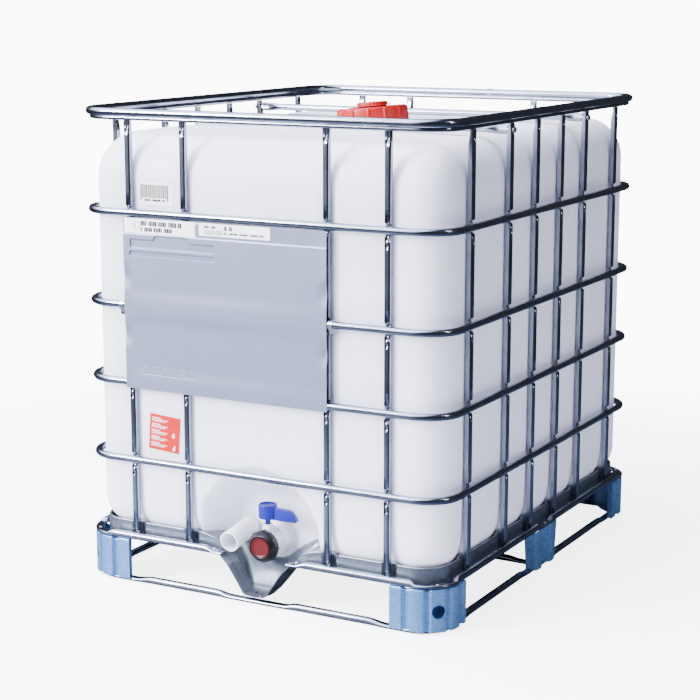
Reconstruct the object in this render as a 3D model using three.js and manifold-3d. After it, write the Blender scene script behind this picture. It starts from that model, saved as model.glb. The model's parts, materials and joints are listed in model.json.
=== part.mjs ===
// Intermediate bulk container: a blow-moulded bottle in a tubular steel cage on a steel pallet.
// Millimetres. X is the width (right is +X), Y the length (the valve side faces -Y), +Z is up.
// The origin is on the floor under the centre of the pallet.

import * as THREE from 'three';
import { mergeVertices } from 'three/addons/utils/BufferGeometryUtils.js';
import Module from 'manifold-3d';

const wasm = await Module();
wasm.setup();

// ---------------------------------------------------------------- driving dimensions
const GAP = 0.3;                     // clearance left between pieces that touch

const WIDTH = 1000;                  // over the pallet, along X
const LENGTH = 1200;                 // over the pallet, along Y
const HEIGHT = 1160;                 // floor to the top of the cage

const TUBE_R = 9;                    // cage tubes
const TOP_TUBE_R = 10;               // main tube of the top ring
const TOP_LIP_R = 5.5;               // lower lip of the top ring
const CORNER_R = 80;                 // corner radius of the rings, on the tube's centre line
const CAGE_INSET = 11;               // ring centre line, in from the pallet's edge
const RING_HEIGHTS = { upper: 915, middle_upper: 693, middle_lower: 504.5, lower: 312 };
const BASE_RING_Z = 118;
const BASE_RING_INSET = TUBE_R;
const FLOOR_RING_INSET_X = 26;
const FLOOR_RING_INSET_Y = 16;

const UPRIGHT = 16;                  // side of the rounded-square upright tube
const UPRIGHT_INSET = CAGE_INSET + TUBE_R;
const FRONT_UPRIGHTS = { outer: 346, inner: 191 };
const SIDE_UPRIGHTS = { outer: 441, middle: 232, inner: 77 };
const UPRIGHT_BOTTOM = 110;
const UPRIGHT_TOP = 1131;
const CROSSBAR_Z = 1116;

const BOTTLE = {
  halfX: 470, halfY: 570, cornerR: 75, bottom: 111.5, top: 1088,
  bottomEdgeR: 80, topEdgeR: 70, wall: 3,
};

const TRAY = { sheet: 2, floor: 109, rimTop: 150 };
const TRAY_INSET = UPRIGHT_INSET + UPRIGHT / 2 + GAP;
const TRAY_CORNER_R = 72;
const TROUGH = { halfTop: 100, halfBottom: 32, bottom: 19, back: -440, flatBack: -545 };

const FOOT = { lengthX: 138, lengthFront: 118, lengthBack: 138, inset: 2, wall: 3, flute: 5 };
const FOOT_TOP = BASE_RING_Z - TUBE_R - GAP;
const FLOOR_TOP = 2 * TUBE_R;
const MID_FOOT = { half: 80, depth: 58 };

const PLATE = { left: -354, right: 199, top: 905, bottom: 492, thickness: 1 };

const VALVE_Z = 133;
const STEM_Y = -532;
const BORE_R = 25;
const SPOUT = { x: -77, y: -585, z: 141, r: 25, wall: 3.5, length: 100, tilt: 8.8 };

const NECK = { z: 1101, tilt: 5.5, outerR: 84, innerR: 75, height: 34 };
const LID = { r: 92.5, skirtR: 89, innerR: 85, height: 40, plate: 3, ribs: 13 };
const BUNG = { r: 38.5, flangeR: 50, plugR: 27.5, holeR: 28.2 };

// ---------------------------------------------------------------- materials
function finish(color, roughness, metalness) {
  return () => new THREE.MeshStandardMaterial({ color, roughness, metalness });
}

const galvanised = finish(0xa9b0bb, 0.32, 0.95);
const zincFoot = finish(0x8fb4dc, 0.4, 0.85);
const naturalPlastic = finish(0xe6e7f0, 0.45, 0);
const whitePlastic = finish(0xf2f2f2, 0.4, 0);
const blackPlastic = finish(0x1a1a1d, 0.35, 0);
const redPlastic = finish(0xd8352b, 0.4, 0);
const darkRed = finish(0xb42f2a, 0.4, 0);
const bluePlastic = finish(0x2b3ec2, 0.4, 0);
const rubber = finish(0x303030, 0.8, 0);

// ---------------------------------------------------------------- small tools
const ibc = new THREE.Group();

function add(name, geometry, makeMaterial, parent = ibc) {
  const mesh = new THREE.Mesh(geometry, makeMaterial());
  mesh.name = name;
  parent.add(mesh);
  return mesh;
}

// Closed geometry to a manifold solid.
function solid(geometry) {
  const bare = geometry.clone();
  bare.deleteAttribute('normal');
  bare.deleteAttribute('uv');
  const merged = mergeVertices(bare, 1e-3);
  const vertProperties = new Float32Array(merged.attributes.position.array);
  const triVerts = new Uint32Array(merged.index.array);
  return new wasm.Manifold(new wasm.Mesh({ numProp: 3, vertProperties, triVerts }));
}

// Manifold solid back to a three.js geometry.
function geometryOf(manifold) {
  const mesh = manifold.getMesh();
  const geometry = new THREE.BufferGeometry();
  geometry.setAttribute('position', new THREE.BufferAttribute(new Float32Array(mesh.vertProperties), 3));
  geometry.setIndex(new THREE.BufferAttribute(new Uint32Array(mesh.triVerts), 1));
  geometry.computeVertexNormals();
  return geometry;
}

function roundedRectangle(halfX, halfY, radius) {
  const shape = new THREE.Shape();
  shape.moveTo(-halfX + radius, -halfY);
  shape.absarc(halfX - radius, -halfY + radius, radius, -Math.PI / 2, 0);
  shape.absarc(halfX - radius, halfY - radius, radius, 0, Math.PI / 2);
  shape.absarc(-halfX + radius, halfY - radius, radius, Math.PI / 2, Math.PI);
  shape.absarc(-halfX + radius, -halfY + radius, radius, Math.PI, 1.5 * Math.PI);
  return shape;
}

// A tube of octagonal section bent into a rounded rectangle, centred on z.
function tubeRing(halfX, halfY, cornerR, tubeR, z) {
  const flat = tubeR * Math.tan(Math.PI / 8);
  const bevel = tubeR - flat;
  const shape = roundedRectangle(halfX + flat, halfY + flat, cornerR + flat);
  shape.holes.push(roundedRectangle(halfX - flat, halfY - flat, cornerR - flat));
  const geometry = new THREE.ExtrudeGeometry(shape, {
    depth: 2 * flat, bevelEnabled: true, bevelSize: bevel, bevelThickness: bevel,
    bevelSegments: 1, curveSegments: 2,
  });
  return geometry.translate(0, 0, z - flat);
}

function extrude(shape, depth, z = 0, curveSegments = 2) {
  const geometry = new THREE.ExtrudeGeometry(shape, { depth, bevelEnabled: false, curveSegments });
  return geometry.translate(0, 0, z);
}

// A closed skin over sections that each list the same number of points, anticlockwise seen from the last.
function loft(sections) {
  const count = sections[0].length;
  const position = sections.flat().flatMap((point) => [point.x, point.y, point.z]);
  const index = [];
  for (let s = 0; s + 1 < sections.length; s += 1) {
    for (let i = 0; i < count; i += 1) {
      const a = s * count + i;
      const b = s * count + (i + 1) % count;
      index.push(a, b, b + count, a, b + count, a + count);
    }
  }
  const last = (sections.length - 1) * count;
  for (let i = 1; i + 1 < count; i += 1) {
    index.push(0, i + 1, i);
    index.push(last, last + i, last + i + 1);
  }
  const geometry = new THREE.BufferGeometry();
  geometry.setAttribute('position', new THREE.Float32BufferAttribute(position, 3));
  geometry.setIndex(index);
  geometry.computeVertexNormals();
  return geometry;
}

// A turned solid about Z from (radius, height) pairs that start and end on the axis or close on themselves.
function turned(pairs, segments = 24) {
  return new THREE.LatheGeometry(pairs.map(([r, z]) => new THREE.Vector2(r, z)), segments)
    .rotateX(Math.PI / 2);
}

function cylinder(radius, bottom, top, segments = 24) {
  return turned([[0, bottom], [radius, bottom], [radius, top], [0, top]], segments);
}

function ring(innerR, outerR, bottom, top, segments = 24) {
  return turned([[innerR, bottom], [outerR, bottom], [outerR, top], [innerR, top], [innerR, bottom]], segments);
}

// Turns a shape made about Z so that its top faces the valve side, on the outlet's axis.
function alongOutlet(geometry) {
  return geometry.rotateX(Math.PI / 2).translate(0, 0, VALVE_Z);
}

// ---------------------------------------------------------------- cage rings
function addCageRings() {
  const halfX = WIDTH / 2 - CAGE_INSET;
  const halfY = LENGTH / 2 - CAGE_INSET;
  const topTube = tubeRing(halfX, halfY, CORNER_R, TOP_TUBE_R, HEIGHT - TOP_TUBE_R);
  const lipInset = TOP_TUBE_R - TOP_LIP_R;
  const lipZ = UPRIGHT_TOP + GAP + TOP_LIP_R;
  const lip = tubeRing(halfX - lipInset, halfY - lipInset, CORNER_R - lipInset, TOP_LIP_R, lipZ);
  add('cage_top_ring', geometryOf(solid(topTube).add(solid(lip))), galvanised);
  for (const [place, z] of Object.entries(RING_HEIGHTS)) {
    add(`cage_ring_${place}`, tubeRing(halfX, halfY, CORNER_R, TUBE_R, z), galvanised);
  }
}

// The base ring stops either side of the drain trough.
function addBaseRing() {
  const halfX = WIDTH / 2 - BASE_RING_INSET;
  const halfY = LENGTH / 2 - BASE_RING_INSET;
  const whole = solid(tubeRing(halfX, halfY, CORNER_R, TUBE_R, BASE_RING_Z));
  const troughGap = new THREE.BoxGeometry(2 * TROUGH.halfTop + 8, 4 * TUBE_R, 4 * TUBE_R);
  troughGap.translate(0, -halfY, BASE_RING_Z);
  add('cage_base_ring', geometryOf(whole.subtract(solid(troughGap))), galvanised);
}

// ---------------------------------------------------------------- uprights
// Built with its outer face towards +X: the outer face is pressed in where a ring crosses.
function uprightGeometry() {
  const half = UPRIGHT / 2;
  const base = UPRIGHT_INSET - BASE_RING_INSET - TUBE_R - GAP;
  const levels = [[UPRIGHT_BOTTOM, base], [BASE_RING_Z + 13, base], [BASE_RING_Z + 22, half]];
  const heights = Object.values(RING_HEIGHTS).sort((a, b) => a - b);
  for (const z of heights) {
    levels.push([z - 14, half], [z - 4, -0.4], [z + 4, -0.4], [z + 14, half]);
  }
  levels.push([UPRIGHT_TOP, half]);
  const sections = levels.map(([z, outer]) => [
    new THREE.Vector3(-half, -half, z),
    new THREE.Vector3(outer, -half, z),
    new THREE.Vector3(outer, half, z),
    new THREE.Vector3(-half, half, z),
  ]);
  return loft(sections);
}

const SIDES = {
  right: { turn: 0, reach: WIDTH / 2 - UPRIGHT_INSET, places: SIDE_UPRIGHTS },
  back: { turn: Math.PI / 2, reach: LENGTH / 2 - UPRIGHT_INSET, places: FRONT_UPRIGHTS },
  left: { turn: Math.PI, reach: WIDTH / 2 - UPRIGHT_INSET, places: SIDE_UPRIGHTS },
  front: { turn: -Math.PI / 2, reach: LENGTH / 2 - UPRIGHT_INSET, places: FRONT_UPRIGHTS },
};

// Places along a side run from its left end to its right end, seen from outside.
function offsetsAlong(places) {
  const out = Object.values(places);
  return [...out.map((v) => -v), ...out.reverse()];
}

function addUprights() {
  const boltHole = solid(cylinder(4.3, -12, 12, 12).rotateY(Math.PI / 2).translate(0, 0, CROSSBAR_Z));
  for (const [side, { turn, reach, places }] of Object.entries(SIDES)) {
    offsetsAlong(places).forEach((along, i) => {
      const carriesBar = Math.abs(along) === SIDE_UPRIGHTS.middle;
      let geometry = uprightGeometry();
      if (carriesBar) {
        geometry = geometryOf(solid(geometry).subtract(boltHole));
      }
      const holder = new THREE.Group();
      holder.rotation.z = turn;
      ibc.add(holder);
      const upright = add(`upright_${side}_${i + 1}`, geometry, galvanised, holder);
      upright.position.set(reach, along, 0);
    });
  }
}

// ---------------------------------------------------------------- crossbars over the bottle
function addCrossbars() {
  const end = WIDTH / 2 - UPRIGHT_INSET - UPRIGHT / 2 - GAP;
  const pressedEnd = 34;
  const octagon = (r, thickness, x) => [...Array(8).keys()].map((i) => {
    const angle = (i + 0.5) * Math.PI / 4;
    return new THREE.Vector3(x, r * Math.cos(angle), thickness * Math.sin(angle));
  });
  for (const [place, y] of [['front', -SIDE_UPRIGHTS.middle], ['back', SIDE_UPRIGHTS.middle]]) {
    const bar = solid(loft([
      octagon(7, 10, -end), octagon(TUBE_R, TUBE_R, -end + pressedEnd),
      octagon(TUBE_R, TUBE_R, end - pressedEnd), octagon(7, 10, end),
    ]));
    const bores = [-1, 1].map((s) => solid(
      cylinder(4.3, -20, 20, 12).rotateY(Math.PI / 2).translate(s * (end - 4), 0, 0)));
    const bored = geometryOf(bar.subtract(bores[0]).subtract(bores[1]));
    add(`crossbar_${place}`, bored, galvanised).position.set(0, y, CROSSBAR_Z);
    for (const [side, turn] of [['right', 0], ['left', Math.PI]]) {
      const headSeat = WIDTH / 2 - UPRIGHT_INSET + UPRIGHT / 2 + GAP;
      const bolt = turned([
        [0, end - 20], [4, end - 20], [4, headSeat], [8, headSeat], [7, headSeat + 4], [0, headSeat + 5],
      ], 12).rotateY(Math.PI / 2);
      const mesh = add(`crossbar_bolt_${place}_${side}`, bolt, galvanised);
      mesh.rotation.z = turn;
      mesh.position.set(0, y, CROSSBAR_Z);
    }
  }
}

// ---------------------------------------------------------------- bottle
function bottleSection(inset, z) {
  const { halfX, halfY, cornerR } = BOTTLE;
  const shape = roundedRectangle(halfX - inset, halfY - inset, Math.max(cornerR - inset, 25));
  return shape.getPoints(2).slice(0, -1).map((p) => new THREE.Vector3(p.x, p.y, z));
}

// The bottle's outer skin, or its inner one when skin is the wall's thickness.
function bottleSkin(skin) {
  const { bottom, top, bottomEdgeR, topEdgeR } = BOTTLE;
  const sections = [];
  for (const angle of [0, 25, 50, 90].map(THREE.MathUtils.degToRad)) {
    const r = bottomEdgeR - skin;
    sections.push(bottleSection(skin + r * (1 - Math.sin(angle)), bottom + skin + r * (1 - Math.cos(angle))));
  }
  for (const angle of [0, 40, 65, 90].map(THREE.MathUtils.degToRad)) {
    const r = topEdgeR - skin;
    sections.push(bottleSection(skin + r * (1 - Math.cos(angle)), top - skin - r * (1 - Math.sin(angle))));
  }
  return solid(loft(sections));
}

// The domed recess around the outlet, grown by skin for the inner surface.
function recessCutter(skin) {
  const depthSteps = [[-640, 166], [-571, 163], [-540, 152], [-505, 130], [-480, 112]];
  const profile = depthSteps.map(([y, r]) => [r + skin, -y]);
  const back = -depthSteps.at(-1)[0] - skin;
  profile.at(-1)[1] = back;
  const dome = turned([[0, back], ...profile.reverse(), [0, 640]], 28);
  return solid(dome.rotateX(Math.PI / 2).translate(0, 0, 158));
}

function tiltedToNeck(geometry) {
  return geometry.rotateY(THREE.MathUtils.degToRad(-NECK.tilt)).translate(0, 0, NECK.z);
}

function spoutAxis(geometry) {
  const { x, y, z, tilt } = SPOUT;
  return geometry.rotateX(-Math.PI / 2 + THREE.MathUtils.degToRad(tilt)).translate(x, y, z);
}

function addBottle() {
  const { wall } = BOTTLE;
  const recessBack = 480;
  const neckBore = solid(tiltedToNeck(cylinder(NECK.innerR, -60, NECK.height + 10)));
  const outletBore = solid(alongOutlet(cylinder(BORE_R, 440, 520)));
  const peg = solid(spoutAxis(cylinder(SPOUT.r - SPOUT.wall - 0.5, SPOUT.length - 18, SPOUT.length + 4, 16)));
  const outer = bottleSkin(0).subtract(recessCutter(0)).add(peg);
  const inner = bottleSkin(wall).subtract(recessCutter(wall));
  const bottle = outer.subtract(inner).subtract(neckBore).subtract(outletBore);
  add('bottle', geometryOf(bottle), naturalPlastic);

  const neck = solid(tiltedToNeck(turned([
    [0, -40], [104, -40], [97, -2.5], [NECK.outerR, -2.5], [NECK.outerR, NECK.height], [0, NECK.height],
  ])));
  add('bottle_neck', geometryOf(neck.subtract(bottleSkin(-GAP)).subtract(neckBore)), naturalPlastic);

  const socket = ring(BORE_R, 31, recessBack + GAP, 507);
  add('bottle_outlet_socket', geometryOf(solid(alongOutlet(socket))), naturalPlastic);
}

// ---------------------------------------------------------------- pallet
function trayTrough(skin) {
  const { halfTop, halfBottom, bottom, back, flatBack } = TROUGH;
  const top = TRAY.floor + 1;
  const section = (y, lift, narrow, above) => {
    const wide = halfTop - narrow - skin;
    const low = halfBottom - narrow / 3 - skin / 2;
    const z = bottom + lift + skin;
    return [[wide + above / 2, top + above], [low + 8, z + 8], [low, z], [-low, z], [-low - 8, z + 8],
      [-wide - above / 2, top + above]].map(([px, pz]) => new THREE.Vector3(px, y, pz));
  };
  const above = skin > 0 ? 30 : 1;
  const front = -LENGTH / 2 + FOOT.inset - (skin > 0 ? 10 : 0);
  return solid(loft([
    section(front, 0, 0, above), section(flatBack, 0, 0, above),
    section(-480, 48, 16, above), section(back - skin, 80, 30, above),
  ]));
}

function addTray() {
  const halfX = WIDTH / 2 - TRAY_INSET;
  const halfY = LENGTH / 2 - TRAY_INSET;
  const { sheet, floor, rimTop } = TRAY;
  const pan = solid(extrude(roundedRectangle(halfX, halfY, TRAY_CORNER_R), rimTop - floor, floor));
  const hollow = roundedRectangle(halfX - sheet, halfY - sheet, TRAY_CORNER_R - sheet);
  const inside = solid(extrude(hollow, rimTop, floor + sheet));
  const rimGap = new THREE.BoxGeometry(2 * TROUGH.halfTop + 6, 40, 100);
  rimGap.translate(0, -halfY, floor + sheet + 50);
  const chute = trayTrough(0);
  const tray = pan.subtract(inside).subtract(solid(rimGap)).subtract(chute)
    .add(chute).subtract(trayTrough(sheet));
  add('pallet_tray', geometryOf(tray), galvanised);
}

// Outline of a corner foot in the +X, -Y corner: straight, round the corner, straight, with pressed flutes.
function cornerFootOutline(lengthY) {
  const { lengthX, flute } = FOOT;
  const cornerR = CORNER_R;
  const points = [new THREE.Vector2(-lengthX, 0)];
  const notch = (x, y, nx, ny, tx, ty) => {
    for (const [along, deep] of [[-7, 0], [-3, 1], [3, 1], [7, 0]]) {
      points.push(new THREE.Vector2(x + tx * along + nx * deep * flute, y + ty * along + ny * deep * flute));
    }
  };
  notch(-lengthX + 28, 0, 0, 1, 1, 0);
  for (const angle of [8, 32, 58, 82].map(THREE.MathUtils.degToRad)) {
    const x = -cornerR + cornerR * Math.sin(angle);
    const y = cornerR - cornerR * Math.cos(angle);
    if (angle < 0.5 || angle > 1.1) {
      notch(x, y, -Math.sin(angle), Math.cos(angle), Math.cos(angle), Math.sin(angle));
    } else {
      points.push(new THREE.Vector2(x, y));
    }
  }
  points.push(new THREE.Vector2(0, lengthY), new THREE.Vector2(-lengthX, lengthY));
  return new THREE.Shape(points);
}

function addCornerFeet() {
  const { lengthX, inset, wall, flute } = FOOT;
  const height = FOOT_TOP - FLOOR_TOP - GAP;
  for (const [place, lengthY] of [['front', FOOT.lengthFront], ['back', FOOT.lengthBack]]) {
    const outline = cornerFootOutline(lengthY);
    const margin = wall + flute;
    const cavity = new THREE.Shape();
    cavity.moveTo(-lengthX + margin, margin);
    cavity.absarc(-CORNER_R, CORNER_R, CORNER_R - margin, -Math.PI / 2, 0);
    cavity.lineTo(-margin, lengthY - margin);
    cavity.lineTo(-lengthX + margin, lengthY - margin);
    const shell = solid(extrude(outline, height)).subtract(solid(extrude(cavity, height + 2, -1, 4)));
    const strapHole = cylinder(16, -10, 70, 16).rotateX(-Math.PI / 2).rotateZ(Math.PI / 4);
    strapHole.translate(0, 0, height * 0.42);
    const geometry = geometryOf(shell.subtract(solid(strapHole)));
    for (const [side, sx] of [['right', 1], ['left', -1]]) {
      const sy = place === 'front' ? 1 : -1;
      const copy = geometry.clone();
      copy.scale(sx, sy, 1);
      if (sx * sy < 0) {
        const index = Array.from(copy.index.array);
        for (let i = 0; i < index.length; i += 3) {
          [index[i], index[i + 1]] = [index[i + 1], index[i]];
        }
        copy.setIndex(index);
        copy.computeVertexNormals();
      }
      const foot = add(`foot_${place}_${side}`, copy, zincFoot);
      foot.position.set(sx * (WIDTH / 2 - inset), -sy * (LENGTH / 2 - inset), FLOOR_TOP + GAP);
    }
  }
}

function addMiddleFeet() {
  const height = FOOT_TOP - FLOOR_TOP - GAP;
  const { half, depth } = MID_FOOT;
  const section = (x0, halfY, z) => [
    new THREE.Vector3(-x0, -halfY, z), new THREE.Vector3(0, -halfY + 12, z),
    new THREE.Vector3(0, halfY - 12, z), new THREE.Vector3(-x0, halfY, z),
  ];
  const outer = solid(loft([section(depth - 12, half - 14, 0), section(depth, half, height)]));
  const inner = solid(loft([section(depth - 20, half - 22, -1), section(depth - 8, half - 8, height + 1)])
    .translate(-4, 0, 0));
  const geometry = geometryOf(outer.subtract(inner));
  const places = {
    right: [WIDTH / 2 - FOOT.inset, 0, 0],
    left: [-WIDTH / 2 + FOOT.inset, 0, Math.PI],
    back: [0, LENGTH / 2 - FOOT.inset, Math.PI / 2],
  };
  for (const [place, [x, y, turn]] of Object.entries(places)) {
    const foot = add(`foot_middle_${place}`, geometry.clone(), zincFoot);
    foot.position.set(x, y, FLOOR_TOP + GAP);
    foot.rotation.z = turn;
  }
}

function addFloorRing() {
  const halfX = WIDTH / 2 - FLOOR_RING_INSET_X;
  const halfY = LENGTH / 2 - FLOOR_RING_INSET_Y;
  add('floor_ring', tubeRing(halfX, halfY, CORNER_R - 10, TUBE_R, TUBE_R), galvanised);
  const reach = halfX - TUBE_R - GAP;
  const cornerReach = TUBE_R / Math.cos(Math.PI / 8);
  const runner = new THREE.CylinderGeometry(cornerReach, cornerReach, 2 * reach, 8, 1);
  runner.rotateY(Math.PI / 8).rotateZ(Math.PI / 2);
  add('cross_runner', runner, galvanised).position.set(0, 0, TUBE_R);
}

// ---------------------------------------------------------------- identification plate
function addPlate() {
  const { left, right, top, bottom, thickness } = PLATE;
  const front = -LENGTH / 2 + CAGE_INSET - TUBE_R - GAP;
  const sheet = new THREE.BoxGeometry(right - left, thickness, top - bottom);
  add('id_plate', sheet, galvanised)
    .position.set((left + right) / 2, front - thickness / 2, (top + bottom) / 2);
  const band = new THREE.Shape();
  band.absarc(0, 0, TUBE_R + 2, Math.PI * 0.6, Math.PI * 2.1, false);
  band.absarc(0, 0, TUBE_R + 1.2, Math.PI * 2.1, Math.PI * 0.6, true);
  for (const [side, x] of [['left', left - 10], ['right', right + 9]]) {
    const clip = extrude(band, 12, -6, 8).rotateY(Math.PI / 2);
    add(`plate_clip_${side}`, clip, galvanised)
      .position.set(x, -LENGTH / 2 + CAGE_INSET, RING_HEIGHTS.middle_upper);
  }
}

// ---------------------------------------------------------------- outlet valve
function addValve() {
  const stemAt = (geometry) => geometry.translate(0, STEM_Y, 0);
  const turret = stemAt(cylinder(12.5, VALVE_Z + 20, 184, 16));
  const stemHole = stemAt(cylinder(7.3, VALVE_Z + 10, 190, 16));
  const tube = alongOutlet(turned([[0, 507.3], [34, 507.3], [34, 513], [29, 517], [29, 566], [0, 566]]));
  const bore = alongOutlet(cylinder(BORE_R, 500, 570));
  const body = solid(tube).add(solid(turret)).subtract(solid(bore)).subtract(solid(stemHole));
  add('valve_body', geometryOf(body), whitePlastic);

  const nut = solid(alongOutlet(ring(31.4, 42, 486, 506.9)));
  add('valve_union_nut', geometryOf(nut), whitePlastic);

  add('valve_stem', stemAt(cylinder(6.9, VALVE_Z + BORE_R + 0.6, 198, 16)), bluePlastic);

  const plate = alongOutlet(cylinder(24.4, -STEM_Y - 2, -STEM_Y + 2));
  const hub = stemAt(cylinder(5.5, VALVE_Z - 23.5, VALVE_Z + 23.5, 12));
  add('valve_disc', geometryOf(solid(plate).add(solid(hub))), whitePlastic);

  const hubTop = 228;
  const lever = new THREE.Shape([
    [0, 200], [70, 200], [81, 204], [81, 211], [66, 224], [20, 226], [0, 226],
  ].map(([x, z]) => new THREE.Vector2(x, z)));
  const arm = extrude(lever, 13, -6.5).rotateX(Math.PI / 2);
  const knob = cylinder(22, 198.3, hubTop);
  add('valve_handle', stemAt(geometryOf(solid(arm).add(solid(knob)))), bluePlastic);
}

function addOutletCap() {
  const capRing = solid(alongOutlet(turned([
    [29.6, 545], [37, 545], [36, 558], [30, 570], [24.6, 570], [24.6, 568.2], [29.6, 568.2], [29.6, 545],
  ])));
  let ribbed = capRing;
  for (let i = 0; i < 8; i += 1) {
    const lug = new THREE.BoxGeometry(3.4, 6, 12).translate(0, 35.6, 552);
    lug.rotateZ(i * Math.PI / 4);
    ribbed = ribbed.add(solid(alongOutlet(lug)));
  }
  add('outlet_cap_ring', geometryOf(ribbed), blackPlastic);
  const disc = turned([[0, 566.3], [29, 566.3], [29, 567.9], [24.2, 567.9], [24.2, 570.5], [0, 570.5]]);
  add('outlet_cap_disc', alongOutlet(disc), darkRed);
}

function addSpout() {
  const { r, wall, length } = SPOUT;
  add('spout', spoutAxis(ring(r - wall, r, 0, length)), naturalPlastic);
}

// ---------------------------------------------------------------- filler lid and vent bung
function addLid() {
  const neckFrame = new THREE.Group();
  neckFrame.position.z = NECK.z;
  neckFrame.rotation.y = THREE.MathUtils.degToRad(-NECK.tilt);
  ibc.add(neckFrame);

  const { r, skirtR, innerR, height, plate, ribs } = LID;
  const under = height - plate;
  add('filler_gasket', ring(NECK.innerR + 0.5, NECK.outerR, NECK.height + GAP, under - GAP), rubber, neckFrame);

  let lid = solid(turned([
    [BUNG.holeR, under], [innerR, under], [innerR, 0], [skirtR, 0], [skirtR, height - 3],
    [skirtR - 3, height], [BUNG.holeR, height], [BUNG.holeR, under],
  ], 26));
  for (let i = 0; i < ribs; i += 1) {
    const rib = new THREE.BoxGeometry(r - skirtR + 4, 6, height - 4);
    rib.translate((r + skirtR - 4) / 2, 0, height / 2 - 1).rotateZ((i + 0.5) * 2 * Math.PI / ribs);
    lid = lid.add(solid(rib));
  }
  add('filler_lid', geometryOf(lid), redPlastic, neckFrame);

  add('bung_gasket', ring(BUNG.holeR + 0.5, 36, height + GAP, height + 2), rubber, neckFrame);
  const seat = height + 2 + GAP;
  const bung = turned([
    [0, under - 6], [BUNG.plugR, under - 6], [BUNG.plugR, seat], [BUNG.flangeR, seat], [BUNG.flangeR, seat + 2],
    [BUNG.r, seat + 2], [BUNG.r, seat + 9], [BUNG.r - 2, seat + 10.5], [0, seat + 10.5],
  ]);
  add('vent_bung', bung, redPlastic, neckFrame);
}

addCageRings();
addBaseRing();
addUprights();
addCrossbars();
addBottle();
addTray();
addCornerFeet();
addMiddleFeet();
addFloorRing();
addPlate();
addValve();
addOutletCap();
addSpout();
addLid();

export default ibc;
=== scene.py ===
# %% [markdown]
# # An intermediate bulk container
# A plastic bottle stands on a steel pallet inside a cage of zinc-coated tube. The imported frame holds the
# sizes and the joints. This lesson gives each piece of it the surface and the fine shape of the real one.
# Everything is in metres, X to the right, the valve side towards -Y and Z up.

# %% Load the frame
import json
import math
import bpy
import numpy as np
from mathutils import Matrix, Vector


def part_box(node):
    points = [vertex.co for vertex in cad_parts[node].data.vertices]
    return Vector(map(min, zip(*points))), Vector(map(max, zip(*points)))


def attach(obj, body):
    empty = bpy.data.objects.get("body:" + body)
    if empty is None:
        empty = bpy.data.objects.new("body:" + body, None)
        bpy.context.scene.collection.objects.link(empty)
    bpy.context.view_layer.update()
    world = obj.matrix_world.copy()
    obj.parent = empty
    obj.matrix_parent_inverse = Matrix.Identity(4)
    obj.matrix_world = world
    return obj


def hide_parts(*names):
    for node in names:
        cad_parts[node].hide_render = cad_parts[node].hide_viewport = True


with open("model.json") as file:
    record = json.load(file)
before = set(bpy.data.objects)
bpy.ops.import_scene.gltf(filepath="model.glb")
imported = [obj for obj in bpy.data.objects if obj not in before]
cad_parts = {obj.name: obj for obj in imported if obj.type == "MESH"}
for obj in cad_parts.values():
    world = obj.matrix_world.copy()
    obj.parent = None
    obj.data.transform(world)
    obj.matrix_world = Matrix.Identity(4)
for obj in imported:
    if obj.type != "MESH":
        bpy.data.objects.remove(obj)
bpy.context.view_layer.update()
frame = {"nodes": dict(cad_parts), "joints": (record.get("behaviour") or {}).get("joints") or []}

MM = 0.001

# %% [markdown]
# ## Colours and shader nodes
# Colours are easiest to compare as hex codes, but Cycles adds light in linear values, so one function
# converts them. Every material is then a few nodes, and one small function adds a node of any kind with
# its settings and its links, which keeps each recipe down to the lines that matter.

# %% Colour and node helpers
def linear(code, alpha=1.0):
    """An sRGB hex code as a linear RGBA tuple."""
    channels = [int(code[i:i + 2], 16) / 255 for i in (1, 3, 5)]
    return tuple(c / 12.92 if c <= 0.04045 else ((c + 0.055) / 1.055) ** 2.4 for c in channels) + (alpha,)


def add_node(tree, kind, settings=None, **inputs):
    """Adds a node. A setting is an attribute; an input is a value, or an output socket to link from."""
    node = tree.nodes.new(kind)
    for name, value in (settings or {}).items():
        setattr(node, name, value)
    for name, value in inputs.items():
        key = int(name[1:]) if name[0] == "n" and name[1:].isdigit() else name.replace("_", " ")
        socket = node.inputs[key]
        if isinstance(value, bpy.types.NodeSocket):
            tree.links.new(value, socket)
        else:
            socket.default_value = value
    return node


def new_material(name):
    """An empty material with its output and a Principled shader."""
    material = bpy.data.materials.new(name)
    material.use_nodes = True
    tree = material.node_tree
    tree.nodes.clear()
    shader = tree.nodes.new("ShaderNodeBsdfPrincipled")
    output = tree.nodes.new("ShaderNodeOutputMaterial")
    tree.links.new(shader.outputs["BSDF"], output.inputs["Surface"])
    return material, tree, shader


def ramp(tree, factor, stops):
    """A colour ramp from (position, hex code) pairs."""
    node = add_node(tree, "ShaderNodeValToRGB", Fac=factor)
    elements = node.color_ramp.elements
    while len(elements) < len(stops):
        elements.new(0.5)
    for element, (position, code) in zip(elements, stops):
        element.position = position
        element.color = linear(code)
    return node.outputs["Color"]


def noise(tree, place, scale, detail):
    """A soft noise; scale is its number of waves per unit of place."""
    return add_node(tree, "ShaderNodeTexNoise", Vector=place, Scale=scale, Detail=detail).outputs["Fac"]


def between(tree, value, low, high):
    """Spreads the middle of a noise over the given range, for a roughness."""
    return add_node(tree, "ShaderNodeMapRange", Value=value, From_Min=0.3, From_Max=0.7,
                    To_Min=low, To_Max=high).outputs["Result"]


def object_place(tree):
    """The place on the object, in metres."""
    return add_node(tree, "ShaderNodeTexCoord").outputs["Object"]


def dress(tree, shader, base, rough, bump, settings):
    """Links colour, roughness and bump to the shader, and sets its other inputs by name."""
    tree.links.new(base, shader.inputs["Base Color"])
    tree.links.new(rough, shader.inputs["Roughness"])
    tree.links.new(bump.outputs["Normal"], shader.inputs["Normal"])
    for name, value in settings.items():
        shader.inputs[name].default_value = value


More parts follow.
